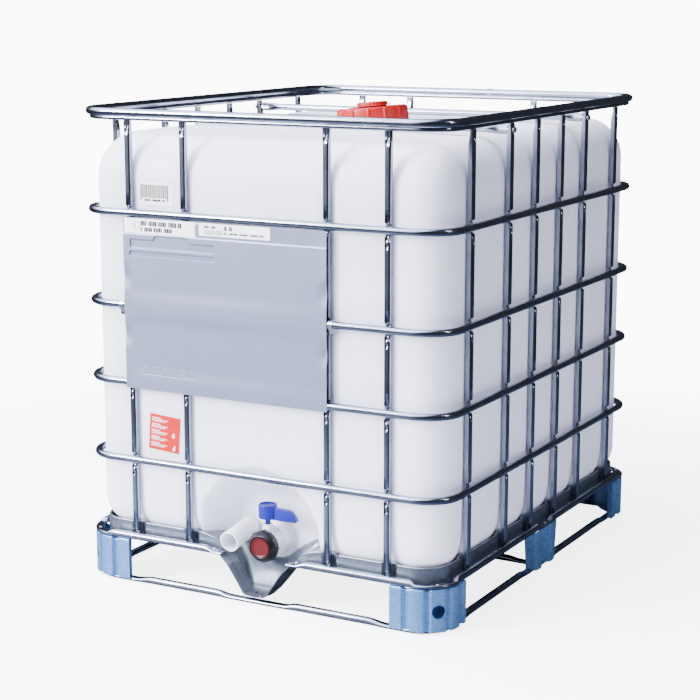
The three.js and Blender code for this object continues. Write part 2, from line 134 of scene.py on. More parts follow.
# %% [markdown]
# ## Zinc on steel
# The tubes are bright strip steel, zinc coated, then rolled and welded, so they are smooth and mirror-like
# with faint lines along the tube. The pressed sheet has a spangle: zinc crystals a few millimetres wide that
# differ a little in brightness. A Voronoi cell per crystal and a fine noise for the roughness give both.

# %% Galvanised steels
def drawn_zinc_tube():
    """Galvanised steel tube: rolled lines along its length, read from the tube's own UV in metres."""
    material, tree, shader = new_material("galvanised_steel_tube_rolled")
    uv = add_node(tree, "ShaderNodeTexCoord").outputs["UV"]
    along = add_node(tree, "ShaderNodeMapping", Vector=uv, Scale=(900.0, 12.0, 1.0)).outputs["Vector"]
    lines = noise(tree, along, 1.0, 2.0)
    cloud = noise(tree, object_place(tree), 18.0, 3.0)
    base = ramp(tree, cloud, [(0.3, "#8B909F"), (0.7, "#A3A8B6")])
    bump = add_node(tree, "ShaderNodeBump", Strength=0.015, Distance=0.0004, Height=lines)
    dress(tree, shader, base, between(tree, lines, 0.18, 0.23), bump, {"Metallic": 1.0})
    return material


def spangled_zinc(name, dark, light, roughness, crystal_mm=9.0, metallic=1.0, relief=0.05):
    """Hot-dip galvanised sheet: crystals of the given width, and a fine cloud of roughness."""
    material, tree, shader = new_material(name)
    place = object_place(tree)
    cells = add_node(tree, "ShaderNodeTexVoronoi", Vector=place, Scale=1000.0 / crystal_mm, Randomness=1.0)
    crystal = add_node(tree, "ShaderNodeSeparateColor", Color=cells.outputs["Color"]).outputs["Red"]
    grain = noise(tree, place, 420.0, 3.0)
    cloud = noise(tree, place, 9.0, 4.0)
    blended = add_node(tree, "ShaderNodeMix", {"data_type": "FLOAT"}, n0=0.45, n2=cloud, n3=crystal)
    base = ramp(tree, blended.outputs[0], [(0.25, dark), (0.75, light)])
    bump = add_node(tree, "ShaderNodeBump", Strength=relief, Distance=0.0006, Height=cloud)
    rough = between(tree, grain, roughness - 0.05, roughness + 0.07)
    dress(tree, shader, base, rough, bump, {"Metallic": metallic})
    return material


TUBE = drawn_zinc_tube()
TRAY_SHEET = spangled_zinc("galvanised_sheet_deep_drawn", "#858A95", "#9196A1", 0.32,
                           metallic=0.9, relief=0.005)
PLATE_SHEET = spangled_zinc("galvanised_sheet_flat_rolled", "#8C93AD", "#949BB4", 0.44,
                            crystal_mm=3.0, metallic=0.7, relief=0.02)
FOOT_SHEET = spangled_zinc("blue_passivated_zinc_pressing", "#6A9AD0", "#86B2E2", 0.32,
                           crystal_mm=4.0, metallic=0.75, relief=0.12)
BOLT_STEEL = spangled_zinc("zinc_plated_bolt_cold_headed", "#C4C7CC", "#DDE0E4", 0.20,
                           crystal_mm=2.0, relief=0.0)
WELD = spangled_zinc("resistance_weld_spatter", "#8E929A", "#D5D8DE", 0.33, crystal_mm=1.5, relief=0.4)
print("six zinc finishes")

# %% [markdown]
# ## Plastics
# The bottle is natural HDPE, blow moulded: milky, slightly blue, with light wandering through the wall.
# Subsurface scattering with a radius of some centimetres gives that glow. The screw parts are injection
# moulded HDPE and PP: coloured through, with a soft sheen and a very fine texture from the mould.

# %% Moulded plastics
def moulded_plastic(name, dark, light, roughness, texture_mm=1.2, relief=0.08, scatter=0.0, radius=0.01):
    """Solid coloured plastic: mottle a few centimetres wide, mould texture of the given width."""
    material, tree, shader = new_material(name)
    place = object_place(tree)
    mottle = noise(tree, place, 22.0, 3.0)
    texture = noise(tree, place, 1000.0 / texture_mm, 2.0)
    base = ramp(tree, mottle, [(0.3, dark), (0.7, light)])
    bump = add_node(tree, "ShaderNodeBump", Strength=relief, Distance=0.0003, Height=texture)
    dress(tree, shader, base, between(tree, texture, roughness - 0.04, roughness + 0.05), bump, {
        "IOR": 1.5, "Subsurface Weight": scatter, "Subsurface Radius": (1.0, 1.0, 1.15),
        "Subsurface Scale": radius})
    return material


def blown_bottle_plastic():
    """Natural HDPE, blow moulded: a milky wall whose surface ripples over 60 to 200 mm."""
    material, tree, shader = new_material("natural_hdpe_blow_moulded")
    place = object_place(tree)
    thickness = noise(tree, place, 5.0, 3.0)
    ripple = noise(tree, place, 16.0, 2.0)
    skin = noise(tree, place, 600.0, 2.0)
    base = ramp(tree, thickness, [(0.3, "#E6E6F2"), (0.7, "#EDEDF6")])
    height = add_node(tree, "ShaderNodeMix", {"data_type": "FLOAT"}, n0=0.04, n2=ripple, n3=skin)
    bump = add_node(tree, "ShaderNodeBump", Strength=0.10, Distance=0.004, Height=height.outputs[0])
    dress(tree, shader, base, between(tree, skin, 0.38, 0.46), bump, {
        "IOR": 1.5, "Specular IOR Level": 0.35, "Subsurface Weight": 0.5,
        "Subsurface Radius": (0.9, 0.9, 1.1), "Subsurface Scale": 0.03})
    return material


BOTTLE_PLASTIC = blown_bottle_plastic()
SPOUT_PLASTIC = moulded_plastic("natural_hdpe_injection_moulded", "#E4E4EC", "#F2F2F6", 0.36,
                                scatter=0.6, radius=0.008)
VALVE_PLASTIC = moulded_plastic("white_hdpe_injection_moulded", "#D6D8DE", "#E8E9EC", 0.38, scatter=0.2,
                                radius=0.004)
BLUE_PLASTIC = moulded_plastic("blue_hdpe_injection_moulded", "#070D74", "#0A1184", 0.38)
BLACK_PLASTIC = moulded_plastic("black_pp_injection_moulded", "#030303", "#060607", 0.36)
CAP_RED_PLASTIC = moulded_plastic("dark_red_hdpe_injection_moulded", "#4A0303", "#560504", 0.34)
LID_RED_PLASTIC = moulded_plastic("red_hdpe_injection_moulded", "#920602", "#A00A04", 0.40, scatter=0.1,
                                  radius=0.004)
SEAL_RUBBER = moulded_plastic("black_epdm_rubber_moulded", "#141414", "#222222", 0.75)
print("eight plastics and rubbers")

# %% [markdown]
# ## Printed stickers
# The labels are polypropylene film with flat ink. Small bars stand for the printing: they say nothing, but
# they give the right grey at the right size. Each ink gets a faint roughness change, as print has.

# %% Films and inks
PAPER = moulded_plastic("white_pp_film_gloss", "#F2F2F0", "#FBFBF9", 0.32, texture_mm=0.8, relief=0.03)
RED_FILM = moulded_plastic("red_pp_film_printed", "#B40704", "#BE0B06", 0.42, texture_mm=0.8, relief=0.03)
BLACK_INK = moulded_plastic("black_thermal_ink", "#020203", "#060607", 0.55, texture_mm=0.6, relief=0.02)
GREY_INK = moulded_plastic("grey_flexo_ink", "#6E7080", "#7E808E", 0.5, texture_mm=0.6, relief=0.02)
WHITE_INK = moulded_plastic("white_flexo_ink", "#F0EDEA", "#FBF8F4", 0.5, texture_mm=0.6, relief=0.02)
print("two films and three inks")

# %% [markdown]
# ## From arrays to pieces
# Most pieces here are a section carried along a path, so their points come in rows. `grid_faces` joins
# such rows into quads, and `piece` turns points and faces into an object that rides on a body, replaces
# the plain CAD node and carries the materials it is given. `turned` makes the round shapes from a profile in
# millimetres, and a `Batch` joins several shapes in one mesh.


def grid_faces(rows, columns, close_rows=False, close_columns=True):
    """Quads between neighbouring points of a rows x columns grid."""
    faces = []
    for i in range(rows if close_rows else rows - 1):
        for j in range(columns if close_columns else columns - 1):
            a = i * columns + j
            b = i * columns + (j + 1) % columns
            c = (i + 1) % rows * columns + (j + 1) % columns
            d = (i + 1) % rows * columns + j
            faces.append((a, b, c, d))
    return faces


def end_caps(count, total):
    """The two faces that close a swept shape: its first and its last row of points."""
    return [tuple(range(count))[::-1], tuple(range(total - count, total))]


def border(rows, columns):
    """Indices round the edge of a rows x columns grid, starting along its first row."""
    loop = list(range(columns)) + [r * columns + columns - 1 for r in range(1, rows)]
    loop += [(rows - 1) * columns + c for c in range(columns - 2, -1, -1)]
    return loop + [r * columns for r in range(rows - 2, 0, -1)]


def folded_faces(rows, columns):
    """Faces of two grids of points that follow each other, and of the edge that joins them."""
    offset = rows * columns
    faces = grid_faces(rows, columns, close_columns=False)
    faces += [tuple(offset + i for i in reversed(face)) for face in faces]
    loop = border(rows, columns)
    return faces + [(a, offset + a, offset + b, b) for a, b in zip(loop, loop[1:] + loop[:1])]


def piece(name, points, faces, materials, node=None, body="root", slot=None, face_material=None,
          uv=None, sharp_deg=35.0):
    """Makes a mesh object that rides on a body, and replaces CAD node(s) if any are named."""
    mesh = bpy.data.meshes.new(name)
    mesh.from_pydata([tuple(p) for p in np.asarray(points, dtype=float)], [], faces)
    if not isinstance(materials, (list, tuple)):
        materials = [materials]
    for material in materials:
        mesh.materials.append(material)
    if face_material is not None:
        mesh.polygons.foreach_set("material_index", face_material)
    if uv is not None:
        layer = mesh.uv_layers.new(name="surface_metres")
        corners = np.empty(len(mesh.loops), dtype=np.int32)
        mesh.loops.foreach_get("vertex_index", corners)
        layer.data.foreach_set("uv", np.asarray(uv, dtype=np.float32)[corners].ravel())
    mesh.validate()
    mesh.polygons.foreach_set("use_smooth", [True] * len(mesh.polygons))
    mesh.set_sharp_from_angle(angle=math.radians(sharp_deg))
    obj = bpy.data.objects.new(name, mesh)
    bpy.context.collection.objects.link(obj)
    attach(obj, body)
    nodes = [node] if isinstance(node, str) else list(node or [])
    if nodes:
        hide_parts(*nodes)
    return obj


def bevel(obj, width_mm, segments):
    """Rounds an object's edges and applies the result."""
    modifier = obj.modifiers.new("edge_round", "BEVEL")
    modifier.width = width_mm * MM
    modifier.segments = segments
    modifier.limit_method = "ANGLE"
    modifier.angle_limit = math.radians(35)
    apply_modifiers(obj)


def apply_modifiers(obj):
    """Bakes the object's modifiers into its mesh."""
    graph = bpy.context.evaluated_depsgraph_get()
    baked = bpy.data.meshes.new_from_object(obj.evaluated_get(graph))
    obj.modifiers.clear()
    old = obj.data
    obj.data = baked
    bpy.data.meshes.remove(old)
    obj.data.polygons.foreach_set("use_smooth", [True] * len(obj.data.polygons))
    obj.data.set_sharp_from_angle(angle=math.radians(40))


def smooth_step(x, low, high):
    """0 below low, 1 above high, eased between."""
    t = np.clip((np.asarray(x, dtype=float) - low) / (high - low), 0.0, 1.0)
    return t * t * (3 - 2 * t)


def no_change(angle, row, height):
    """The plain turned shape: no radius added anywhere."""
    return 0.0


def turned(pairs_mm, segments=64, change=no_change):
    """A shape turned about Z from (radius, height) pairs in mm; change adds to the radius."""
    angles = np.linspace(0, 2 * math.pi, segments, endpoint=False)
    points = []
    for row, (r, z) in enumerate(pairs_mm):
        for a in angles:
            reach = (r + change(a, row, z)) * MM
            points.append((reach * math.cos(a), reach * math.sin(a), z * MM))
    return points, grid_faces(len(pairs_mm), segments)


def moved(points, matrix):
    return [tuple(matrix @ Vector(p)) for p in points]


class Batch:
    """Collects points and faces of several shapes that end up in one mesh."""

    def __init__(self):
        self.points = []
        self.faces = []
        self.slots = []

    def add(self, points, faces, slot=0):
        start = len(self.points)
        self.points.extend(tuple(p) for p in points)
        self.faces.extend(tuple(start + i for i in face) for face in faces)
        self.slots.extend([slot] * len(faces))

    def add_turned(self, pairs_mm, matrix, segments=64, change=no_change):
        points, faces = turned(pairs_mm, segments, change)
        self.add(moved(points, matrix), faces)

    def add_sheet(self, front, back, rows, columns):
        """Two grids of points a sheet's thickness apart, joined along their edges."""
        faces = grid_faces(rows, columns, close_columns=False)
        self.add(front, faces)
        self.add(back, [tuple(reversed(face)) for face in faces])
        loop = border(rows, columns)
        count = len(loop)
        edge = [(i, count + i, count + (i + 1) % count, (i + 1) % count) for i in range(count)]
        self.add([front[i] for i in loop] + [back[i] for i in loop], edge)

    def make(self, name, materials, **options):
        return piece(name, self.points, self.faces, materials, face_material=self.slots, **options)


def turned_piece(name, pairs_mm, matrix, material, segments, change=no_change, **options):
    """A turned shape that is a piece of its own."""
    points, faces = turned(pairs_mm, segments, change)
    piece(name, moved(points, matrix), faces, material, **options)


BOX_FACES = [(0, 3, 2, 1), (4, 5, 6, 7), (0, 1, 5, 4), (1, 2, 6, 5), (2, 3, 7, 6), (3, 0, 4, 7)]

# %% [markdown]
# ## Where things are
# The frame already holds the heights and places, so they are read from the boxes of its nodes. The
# cage tubes' centre lines and the uprights' places all follow from them.

# %% Read the frame's sizes
def centre(node):
    low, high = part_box(node)
    return (Vector(low) + Vector(high)) / 2


def size(node):
    low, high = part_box(node)
    return Vector(high) - Vector(low)


RING_NODES = ["cage_ring_lower", "cage_ring_middle_lower", "cage_ring_middle_upper", "cage_ring_upper"]
TUBE_R = size("cage_ring_upper").z / 2
RING_HALF_X = size("cage_ring_upper").x / 2 - TUBE_R
RING_HALF_Y = size("cage_ring_upper").y / 2 - TUBE_R
RING_Z = [centre(n).z for n in RING_NODES]
BASE_Z = centre("cage_base_ring").z
BASE_HALF_X = size("cage_base_ring").x / 2 - TUBE_R
BASE_HALF_Y = size("cage_base_ring").y / 2 - TUBE_R
TOP_R = 10 * MM
TOP_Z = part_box("cage_top_ring")[1][2] - TOP_R
LIP_R = 5.5 * MM
LIP_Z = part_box("cage_top_ring")[0][2] + LIP_R
CORNER_R = 80 * MM
UPRIGHTS = sorted(n for n in frame["nodes"] if n.startswith("upright_"))
FRONT_X = sorted(centre(n).x for n in UPRIGHTS if "front" in n)
SIDE_Y = sorted(centre(n).y for n in UPRIGHTS if "right" in n)
UPRIGHT_LOW, UPRIGHT_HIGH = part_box("upright_front_1")[0][2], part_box("upright_front_1")[1][2]
UPRIGHT_HALF = 8 * MM
print("ring heights", [round(z, 3) for z in RING_Z])
print("front uprights", [round(x, 3) for x in FRONT_X])

# %% [markdown]
# ## Camera, light and floor
# A long lens from a little above and to the right shows the front and the right side. Zinc shows what it
# reflects, so the surroundings matter as much as the lamps: a bright sky to the left and overhead gives the
# white lines on the front tubes, and a dim stretch behind on the right makes the side tubes dark.

# %% Camera
camera = bpy.data.objects.new("camera", bpy.data.cameras.new("camera"))
bpy.context.collection.objects.link(camera)
camera.location = (2.1486, -4.0401, 1.4252)
camera.rotation_euler = (math.radians(78.72), 0.0, math.radians(28.76))
camera.data.sensor_width = 36.0
camera.data.lens = 92.2
bpy.context.scene.camera = camera


# %% Sky, lamps and floor
def sky():
    """Dark room with a bright ceiling on the left and a dim wall in front; the camera itself sees white."""
    world = bpy.data.worlds.new("studio")
    bpy.context.scene.world = world
    world.use_nodes = True
    tree = world.node_tree
    tree.nodes.clear()
    direction = add_node(tree, "ShaderNodeTexCoord").outputs["Generated"]

    def glow(toward, start, end, strength):
        """Strength towards one direction, eased to 0 away from it."""
        near = add_node(tree, "ShaderNodeVectorMath", {"operation": "DOT_PRODUCT"}, n0=direction,
                        n1=tuple(Vector(toward).normalized())).outputs["Value"]
        return add_node(tree, "ShaderNodeMapRange", {"interpolation_type": "SMOOTHSTEP"}, Value=near,
                        From_Min=start, From_Max=end, To_Min=0.0, To_Max=strength).outputs["Result"]

    high_left = glow((-0.46, -0.30, 0.83), 0.62, 0.97, 8.5)
    front_wall = glow((-0.55, -0.74, 0.38), 0.78, 0.99, 0.9)
    both = add_node(tree, "ShaderNodeMath", {"operation": "ADD"}, n0=high_left, n1=front_wall).outputs[0]
    room = add_node(tree, "ShaderNodeMath", {"operation": "ADD"}, n0=both, n1=0.07).outputs[0]
    lit = add_node(tree, "ShaderNodeBackground", Color=linear("#DCE6FA"), Strength=room)
    white = add_node(tree, "ShaderNodeBackground", Color=linear("#FFFFFF"), Strength=11.0)
    seen = add_node(tree, "ShaderNodeLightPath").outputs["Is Camera Ray"]
    mixed = add_node(tree, "ShaderNodeMixShader", n0=seen, n1=lit.outputs[0], n2=white.outputs[0])
    output = tree.nodes.new("ShaderNodeOutputWorld")
    tree.links.new(mixed.outputs[0], output.inputs["Surface"])


def softbox(name, place, target, width, height, power, colour="#FFFFFF", mirrored=True):
    """A rectangular lamp; mirrored says whether shiny surfaces show it."""
    lamp = bpy.data.lights.new(name, "AREA")
    lamp.shape = "RECTANGLE"
    lamp.size, lamp.size_y = width, height
    lamp.energy = power
    lamp.color = linear(colour)[:3]
    obj = bpy.data.objects.new(name, lamp)
    bpy.context.collection.objects.link(obj)
    obj.location = place
    obj.rotation_euler = (Vector(target) - Vector(place)).to_track_quat("-Z", "Y").to_euler()
    obj.visible_glossy = mirrored


def pale_floor():
    """A disc that fades out at its rim: pale to the camera, darker where the zinc mirrors it."""
    material, tree, shader = new_material("studio_floor_painted_board")
    place = add_node(tree, "ShaderNodeTexCoord").outputs["Object"]
    distance = add_node(tree, "ShaderNodeVectorMath", {"operation": "LENGTH"}, n0=place).outputs["Value"]
    fade = add_node(tree, "ShaderNodeMapRange", {"interpolation_type": "SMOOTHSTEP"}, Value=distance,
                    From_Min=1.3, From_Max=2.6, To_Min=1.0, To_Max=0.0).outputs["Result"]
    rays = add_node(tree, "ShaderNodeLightPath")
    mirrored = rays.outputs["Is Glossy Ray"]
    board = add_node(tree, "ShaderNodeMix", {"data_type": "RGBA"}, n0=mirrored, n6=linear("#F4F5F8"),
                     n7=linear("#333D52"))
    lift = add_node(tree, "ShaderNodeMath", {"operation": "MULTIPLY"}, n0=rays.outputs["Is Camera Ray"],
                    n1=4.5)
    tree.links.new(board.outputs[2], shader.inputs["Base Color"])
    tree.links.new(lift.outputs[0], shader.inputs["Emission Strength"])
    shader.inputs["Roughness"].default_value = 0.6
    tree.links.new(fade, shader.inputs["Alpha"])
    reach, corners = 3.0, 96
    angles = np.linspace(0, 2 * math.pi, corners, endpoint=False)
    ring = [(reach * math.cos(a), reach * math.sin(a), 0.0) for a in angles]
    mesh = bpy.data.meshes.new("floor")
    mesh.from_pydata(ring, [], [tuple(range(corners))])
    mesh.materials.append(material)
    obj = bpy.data.objects.new("floor", mesh)
    bpy.context.collection.objects.link(obj)


sky()
softbox("key_softbox", (-2.6, -3.8, 2.6), (0, 0, 0.6), 1.0, 1.8, 430)
softbox("front_fill", (-1.6, -5.0, 1.6), (0, 0, 0.5), 3.4, 2.6, 370, "#F2F2FF", mirrored=False)
softbox("overhead_fill", (-1.2, -0.8, 3.8), (0, 0, 0.6), 2.4, 2.4, 250, mirrored=False)
softbox("right_fill", (4.4, -2.2, 1.8), (0, 0, 0.5), 2.2, 2.2, 120, "#E4E4FF", mirrored=False)
softbox("right_strip", (3.2, -0.4, 2.6), (0, 0, 0.5), 0.12, 2.0, 22)
pale_floor()
print("camera, sky, five softboxes and a floor")

# %% [markdown]
# ## Cage rings
# Each ring is one tube, bent at four corners and butt welded. `ring_path` walks round the centre line and
# gives a point, the outward direction and the distance walked. A section function then says how the tube
# looks at that distance: round almost everywhere, pressed flat where it is screwed to the pallet.

# %% Sweeping a tube round the cage
SIDES_OF_TUBE = 20
TUBE_GIRTH = 0.0565


def ring_path(half_x, half_y, corner_r, straight_step=0.02, corner_steps=14):
    """Points, outward directions and distances round a rounded rectangle, from the middle of the front."""
    points, outward = [], []
    cx, cy = half_x - corner_r, half_y - corner_r

    def straight(start, end, normal):
        steps = max(2, int((Vector(end) - Vector(start)).length / straight_step))
        for t in np.linspace(0, 1, steps, endpoint=False):
            points.append(Vector(start).lerp(Vector(end), t))
            outward.append(Vector(normal))

    def corner(mid, first):
        for angle in np.linspace(first, first + math.pi / 2, corner_steps, endpoint=False):
            normal = Vector((math.cos(angle), math.sin(angle)))
            points.append(Vector(mid) + corner_r * normal)
            outward.append(normal)

    straight((0, -half_y), (cx, -half_y), (0, -1))
    corner((cx, -cy), -math.pi / 2)
    straight((half_x, -cy), (half_x, cy), (1, 0))
    corner((cx, cy), 0)
    straight((cx, half_y), (-cx, half_y), (0, 1))
    corner((-cx, cy), math.pi / 2)
    straight((-half_x, cy), (-half_x, -cy), (-1, 0))
    corner((-cx, -cy), math.pi)
    straight((-cx, -half_y), (0, -half_y), (0, -1))
    steps = [(b - a).length for a, b in zip(points, points[1:])]
    return points, outward, np.concatenate([[0.0], np.cumsum(steps)])


def sweep_ring(path, z, section, closed=True):
    """Carries section(point) -> [(out, up)] round the path; the offsets are in metres."""
    points, outward, walked = path
    rows, uv = [], []
    for p, n, s in zip(points, outward, walked):
        outline = section(p)
        for k, (out, up) in enumerate(outline):
            rows.append((p.x + n.x * out, p.y + n.y * out, z + up))
            uv.append((k / len(outline) * TUBE_GIRTH, s))
    return rows, grid_faces(len(points), len(outline), close_rows=closed), uv


def opened(path, keep):
    """The part of a ring path where keep(point) is true."""
    points, outward, walked = path
    kept = [i for i, p in enumerate(points) if keep(p)]
    return [points[i] for i in kept], [outward[i] for i in kept], [walked[i] for i in kept]


def circle(radius):
    return [(radius * math.cos(a), radius * math.sin(a))
            for a in np.linspace(0, 2 * math.pi, SIDES_OF_TUBE, endpoint=False)]


path = ring_path(RING_HALF_X, RING_HALF_Y, CORNER_R)
for node, z in zip(RING_NODES, RING_Z):
    rows, faces, uv = sweep_ring(path, z, lambda p: circle(TUBE_R))
    piece(node.replace("cage_ring", "ring_tube"), rows, faces, TUBE, node=node, uv=uv)

# %% [markdown]
# The top ring is rolled from a wider tube whose lower part is pinched, so in section it is a figure of
# eight: a main tube with a narrower lip below it, set slightly inwards. The cage's two ends meet in the
# middle of the back, where an oval clinch locks them.

# %% Top ring
def top_section(_point):
    """Outline of the pinched tube: a big circle, a waist and a small circle below."""
    drop = TOP_Z - LIP_Z
    inset = -(TOP_R - LIP_R)
    outline = []
    for a in np.linspace(math.radians(-52), math.radians(232), 18):
        outline.append((TOP_R * math.cos(a), TOP_R * math.sin(a)))
    for a in np.linspace(math.radians(142), math.radians(398), 12):
        outline.append((inset + LIP_R * math.cos(a), -drop + LIP_R * math.sin(a)))
    return outline


rows, faces, uv = sweep_ring(path, TOP_Z, top_section)
piece("top_ring_tube", rows, faces, TUBE, node="cage_top_ring", uv=uv)


def clinch():
    """The oval clinch on the back of the top ring: a flattened boss with three dots on it."""
    batch = Batch()
    where = Vector((0.055, RING_HALF_Y - 2 * MM, TOP_Z + 1 * MM))
    tilt = Matrix.Rotation(math.radians(62), 4, "X")
    oval = Matrix.Translation(where) @ tilt @ Matrix.Diagonal((1.25, 0.62, 1, 1))
    batch.add_turned([(0.01, 3.4), (12, 3.2), (16, 2.2), (18, 0.6), (18, -3)], oval, 32)
    for dx in (-11, 0, 11):
        spot = Matrix.Translation(where + Vector((dx * MM, 0, 0))) @ tilt
        batch.add_turned([(3.2, 2.9), (2.8, 4.6), (1.4, 5.0), (0.01, 5.1)], spot, 16)
    batch.make("top_ring_clinch", WELD, slot="galvanised_tube")


clinch()
print("five cage rings")


# %% [markdown]
# The base ring is flattened where it is screwed down: over the corner feet and over the middle feet. At the
# drain trough it stops, and each end is pressed into a flat tongue that is riveted to the tray. A
# flattened tube keeps its perimeter, so it gets wider as it gets thinner.

# %% Base ring and floor ring
def squashed(radius, amount, keep):
    """A tube's section pressed flat: amount 0 is round, 1 leaves the kept share of its thickness."""
    thin = 1 - (1 - keep) * amount
    wide = 1 + 0.42 * (1 - keep) * amount
    out = []
    square = 1 - 0.35 * amount
    for a in np.linspace(0, 2 * math.pi, SIDES_OF_TUBE, endpoint=False):
        c, s = math.cos(a), math.sin(a)
        out.append((radius * wide * math.copysign(abs(c) ** square, c), radius * thin * s))
    return out


def window(value, middle, half, blend):
    """1 within half of the middle, eased to 0 over the blend distance."""
    return float(1 - smooth_step(abs(value - middle), half, half + blend))


TONGUE_START, TONGUE_END = 0.140, 0.108
CORNER_MIDDLE_X = BASE_HALF_X - CORNER_R * (1 - math.sqrt(0.5))
CORNER_MIDDLE_Y = BASE_HALF_Y - CORNER_R * (1 - math.sqrt(0.5))


def base_flatness(p):
    from_corner = math.hypot(abs(p.x) - CORNER_MIDDLE_X, abs(p.y) - CORNER_MIDDLE_Y)
    at_corner = float(1 - smooth_step(from_corner, 0.050, 0.058))
    at_side = window(p.y, 0.0, 0.030, 0.010) if abs(p.x) > BASE_HALF_X - 1e-6 else 0.0
    at_back = window(p.x, 0.0, 0.030, 0.010) if p.y > BASE_HALF_Y - 1e-6 else 0.0
    at_tongue = 0.0
    if p.y < -BASE_HALF_Y + 1e-6:
        at_tongue = float(1 - smooth_step(abs(p.x), TONGUE_END, TONGUE_START))
    return max(0.8 * at_corner, 0.8 * at_side, 0.8 * at_back, at_tongue)


def base_section(p):
    """Pressed down onto its underside, with the top dished so that its two edges catch the light."""
    flat = base_flatness(p)
    outline = []
    for out, up in squashed(TUBE_R, flat, 0.42):
        dish = 2.2 * MM * flat * max(0.0, 1 - (out / (0.75 * TUBE_R)) ** 2) if up > 0 else 0.0
        outline.append((out, up - TUBE_R * 0.58 * flat * 0.8 - dish))
    return outline


BASE_GAP = TONGUE_END - 0.022
path = opened(ring_path(BASE_HALF_X, BASE_HALF_Y, CORNER_R, straight_step=0.008, corner_steps=20),
              lambda p: not (p.y < 0 and abs(p.x) < BASE_GAP))
rows, faces, uv = sweep_ring(path, BASE_Z, base_section, closed=False)
faces += end_caps(SIDES_OF_TUBE, len(rows))
piece("base_ring_tube", rows, faces, TUBE, node="cage_base_ring", uv=uv)

FLOOR_HALF_X = size("floor_ring").x / 2 - TUBE_R
FLOOR_HALF_Y = size("floor_ring").y / 2 - TUBE_R


def floor_flatness(p):
    """1 under a foot or under the trough, 0 between them."""
    along_front = abs(p.y) > FLOOR_HALF_Y - 1e-4
    along_side = abs(p.x) > FLOOR_HALF_X - 1e-4
    if not along_front and not along_side:
        return 1.0
    if along_front:
        at_end = float(smooth_step(abs(p.x), 0.300, 0.345))
        return max(at_end, window(p.x, 0.0, 0.078, 0.030))
    return max(float(smooth_step(abs(p.y), 0.410, 0.455)), window(p.y, 0.0, 0.080, 0.035))


def floor_section(p):
    """Pressed down where a foot or the trough stands on it; the underside stays on the floor."""
    flat = 0.75 * floor_flatness(p)
    return [(out, up - TUBE_R * 0.5 * flat) for out, up in squashed(TUBE_R, flat, 0.5)]


path = ring_path(FLOOR_HALF_X, FLOOR_HALF_Y, CORNER_R - 10 * MM, straight_step=0.012, corner_steps=16)
rows, faces, uv = sweep_ring(path, TUBE_R, floor_section)
piece("floor_ring_tube", rows, faces, TUBE, node="floor_ring", uv=uv)

reach = size("cross_runner").x / 2
stations = np.linspace(-reach, reach, 60)
rows, uv = [], []
for x in stations:
    flat = float(smooth_step(abs(x), reach - 0.075, reach - 0.035))
    for k, (out, up) in enumerate(squashed(TUBE_R, 0.75 * flat, 0.5)):
        rows.append((x, out, TUBE_R + up - TUBE_R * 0.375 * flat))
        uv.append((k / SIDES_OF_TUBE * TUBE_GIRTH, x))
faces = grid_faces(len(stations), SIDES_OF_TUBE) + end_caps(SIDES_OF_TUBE, len(rows))
piece("cross_runner_tube", rows, faces, TUBE, node="cross_runner", uv=uv)
print("base ring, floor ring and cross runner")


# %% [markdown]
# ## Uprights
# The upright is a square tube with round edges. A press dents its outer face wherever a ring crosses, so
# that the ring sinks in and can be welded: the face is flat behind the ring, and a spoon-shaped dimple
# runs out above and below. The top is pinched to a fork under the top ring. All twenty share this shape.

# %% Upright shape
DENT_DEPTH = 8.2 * MM
DENT_FLAT = 11 * MM
DENT_TAIL = 31 * MM
UPRIGHT_GIRTH = 0.058


def corner_point(quarter, angle):
    """A point on a corner arc of the upright's section: half size 8 mm, edge radius 4.5 mm."""
    r = 4.5 * MM
    flat = UPRIGHT_HALF - r
    out = flat if quarter % 4 in (0, 3) else -flat
    side = flat if quarter % 4 < 2 else -flat
    return out + r * math.cos(angle), side + r * math.sin(angle)


def upright_outline():
    """Rounded square as (outward, sideways) pairs: eight points on each edge and four on each side."""
    outline = []
    for quarter in range(4):
        for t in np.linspace(0, 1, 8, endpoint=False):
            outline.append(corner_point(quarter, (quarter + t * 0.999) * math.pi / 2))
        start = outline[-1]
        end = corner_point(quarter + 1, (quarter + 1) * math.pi / 2)
        for t in (0.2, 0.4, 0.6, 0.8):
            outline.append((start[0] + (end[0] - start[0]) * t, start[1] + (end[1] - start[1]) * t))
    return np.array(outline)


def dent(z, side):
    """How deep the outer face is pressed in at height z and sideways place, in metres."""
    depth = np.zeros_like(side)
    crossings = [(rz, DENT_TAIL, DENT_TAIL) for rz in RING_Z]
    crossings.append((BASE_Z, 0.0, 52 * MM))
    for middle, tail_down, tail_up in crossings:
        distance = z - middle
        full = 1 - smooth_step(abs(distance), DENT_FLAT, DENT_FLAT + 6 * MM)
        tail = tail_up if distance > 0 else tail_down
        if tail > 0:
            run = np.clip((abs(distance) - DENT_FLAT) / tail, 0, 3)
            arch = np.clip(1 - run ** 2 - (side / (6.4 * MM)) ** 2 * 0.9, 0, 1)
            spoon = np.sqrt(arch) * 0.62
        else:
            spoon = 0.0
        depth = np.maximum(depth, DENT_DEPTH * np.maximum(full, spoon))
    fork = smooth_step(z, UPRIGHT_HIGH - 34 * MM, UPRIGHT_HIGH - 12 * MM)
    groove = fork * 9 * MM * np.clip(1 - (side / (5.5 * MM)) ** 2, 0, 1)
    return np.maximum(depth, groove)


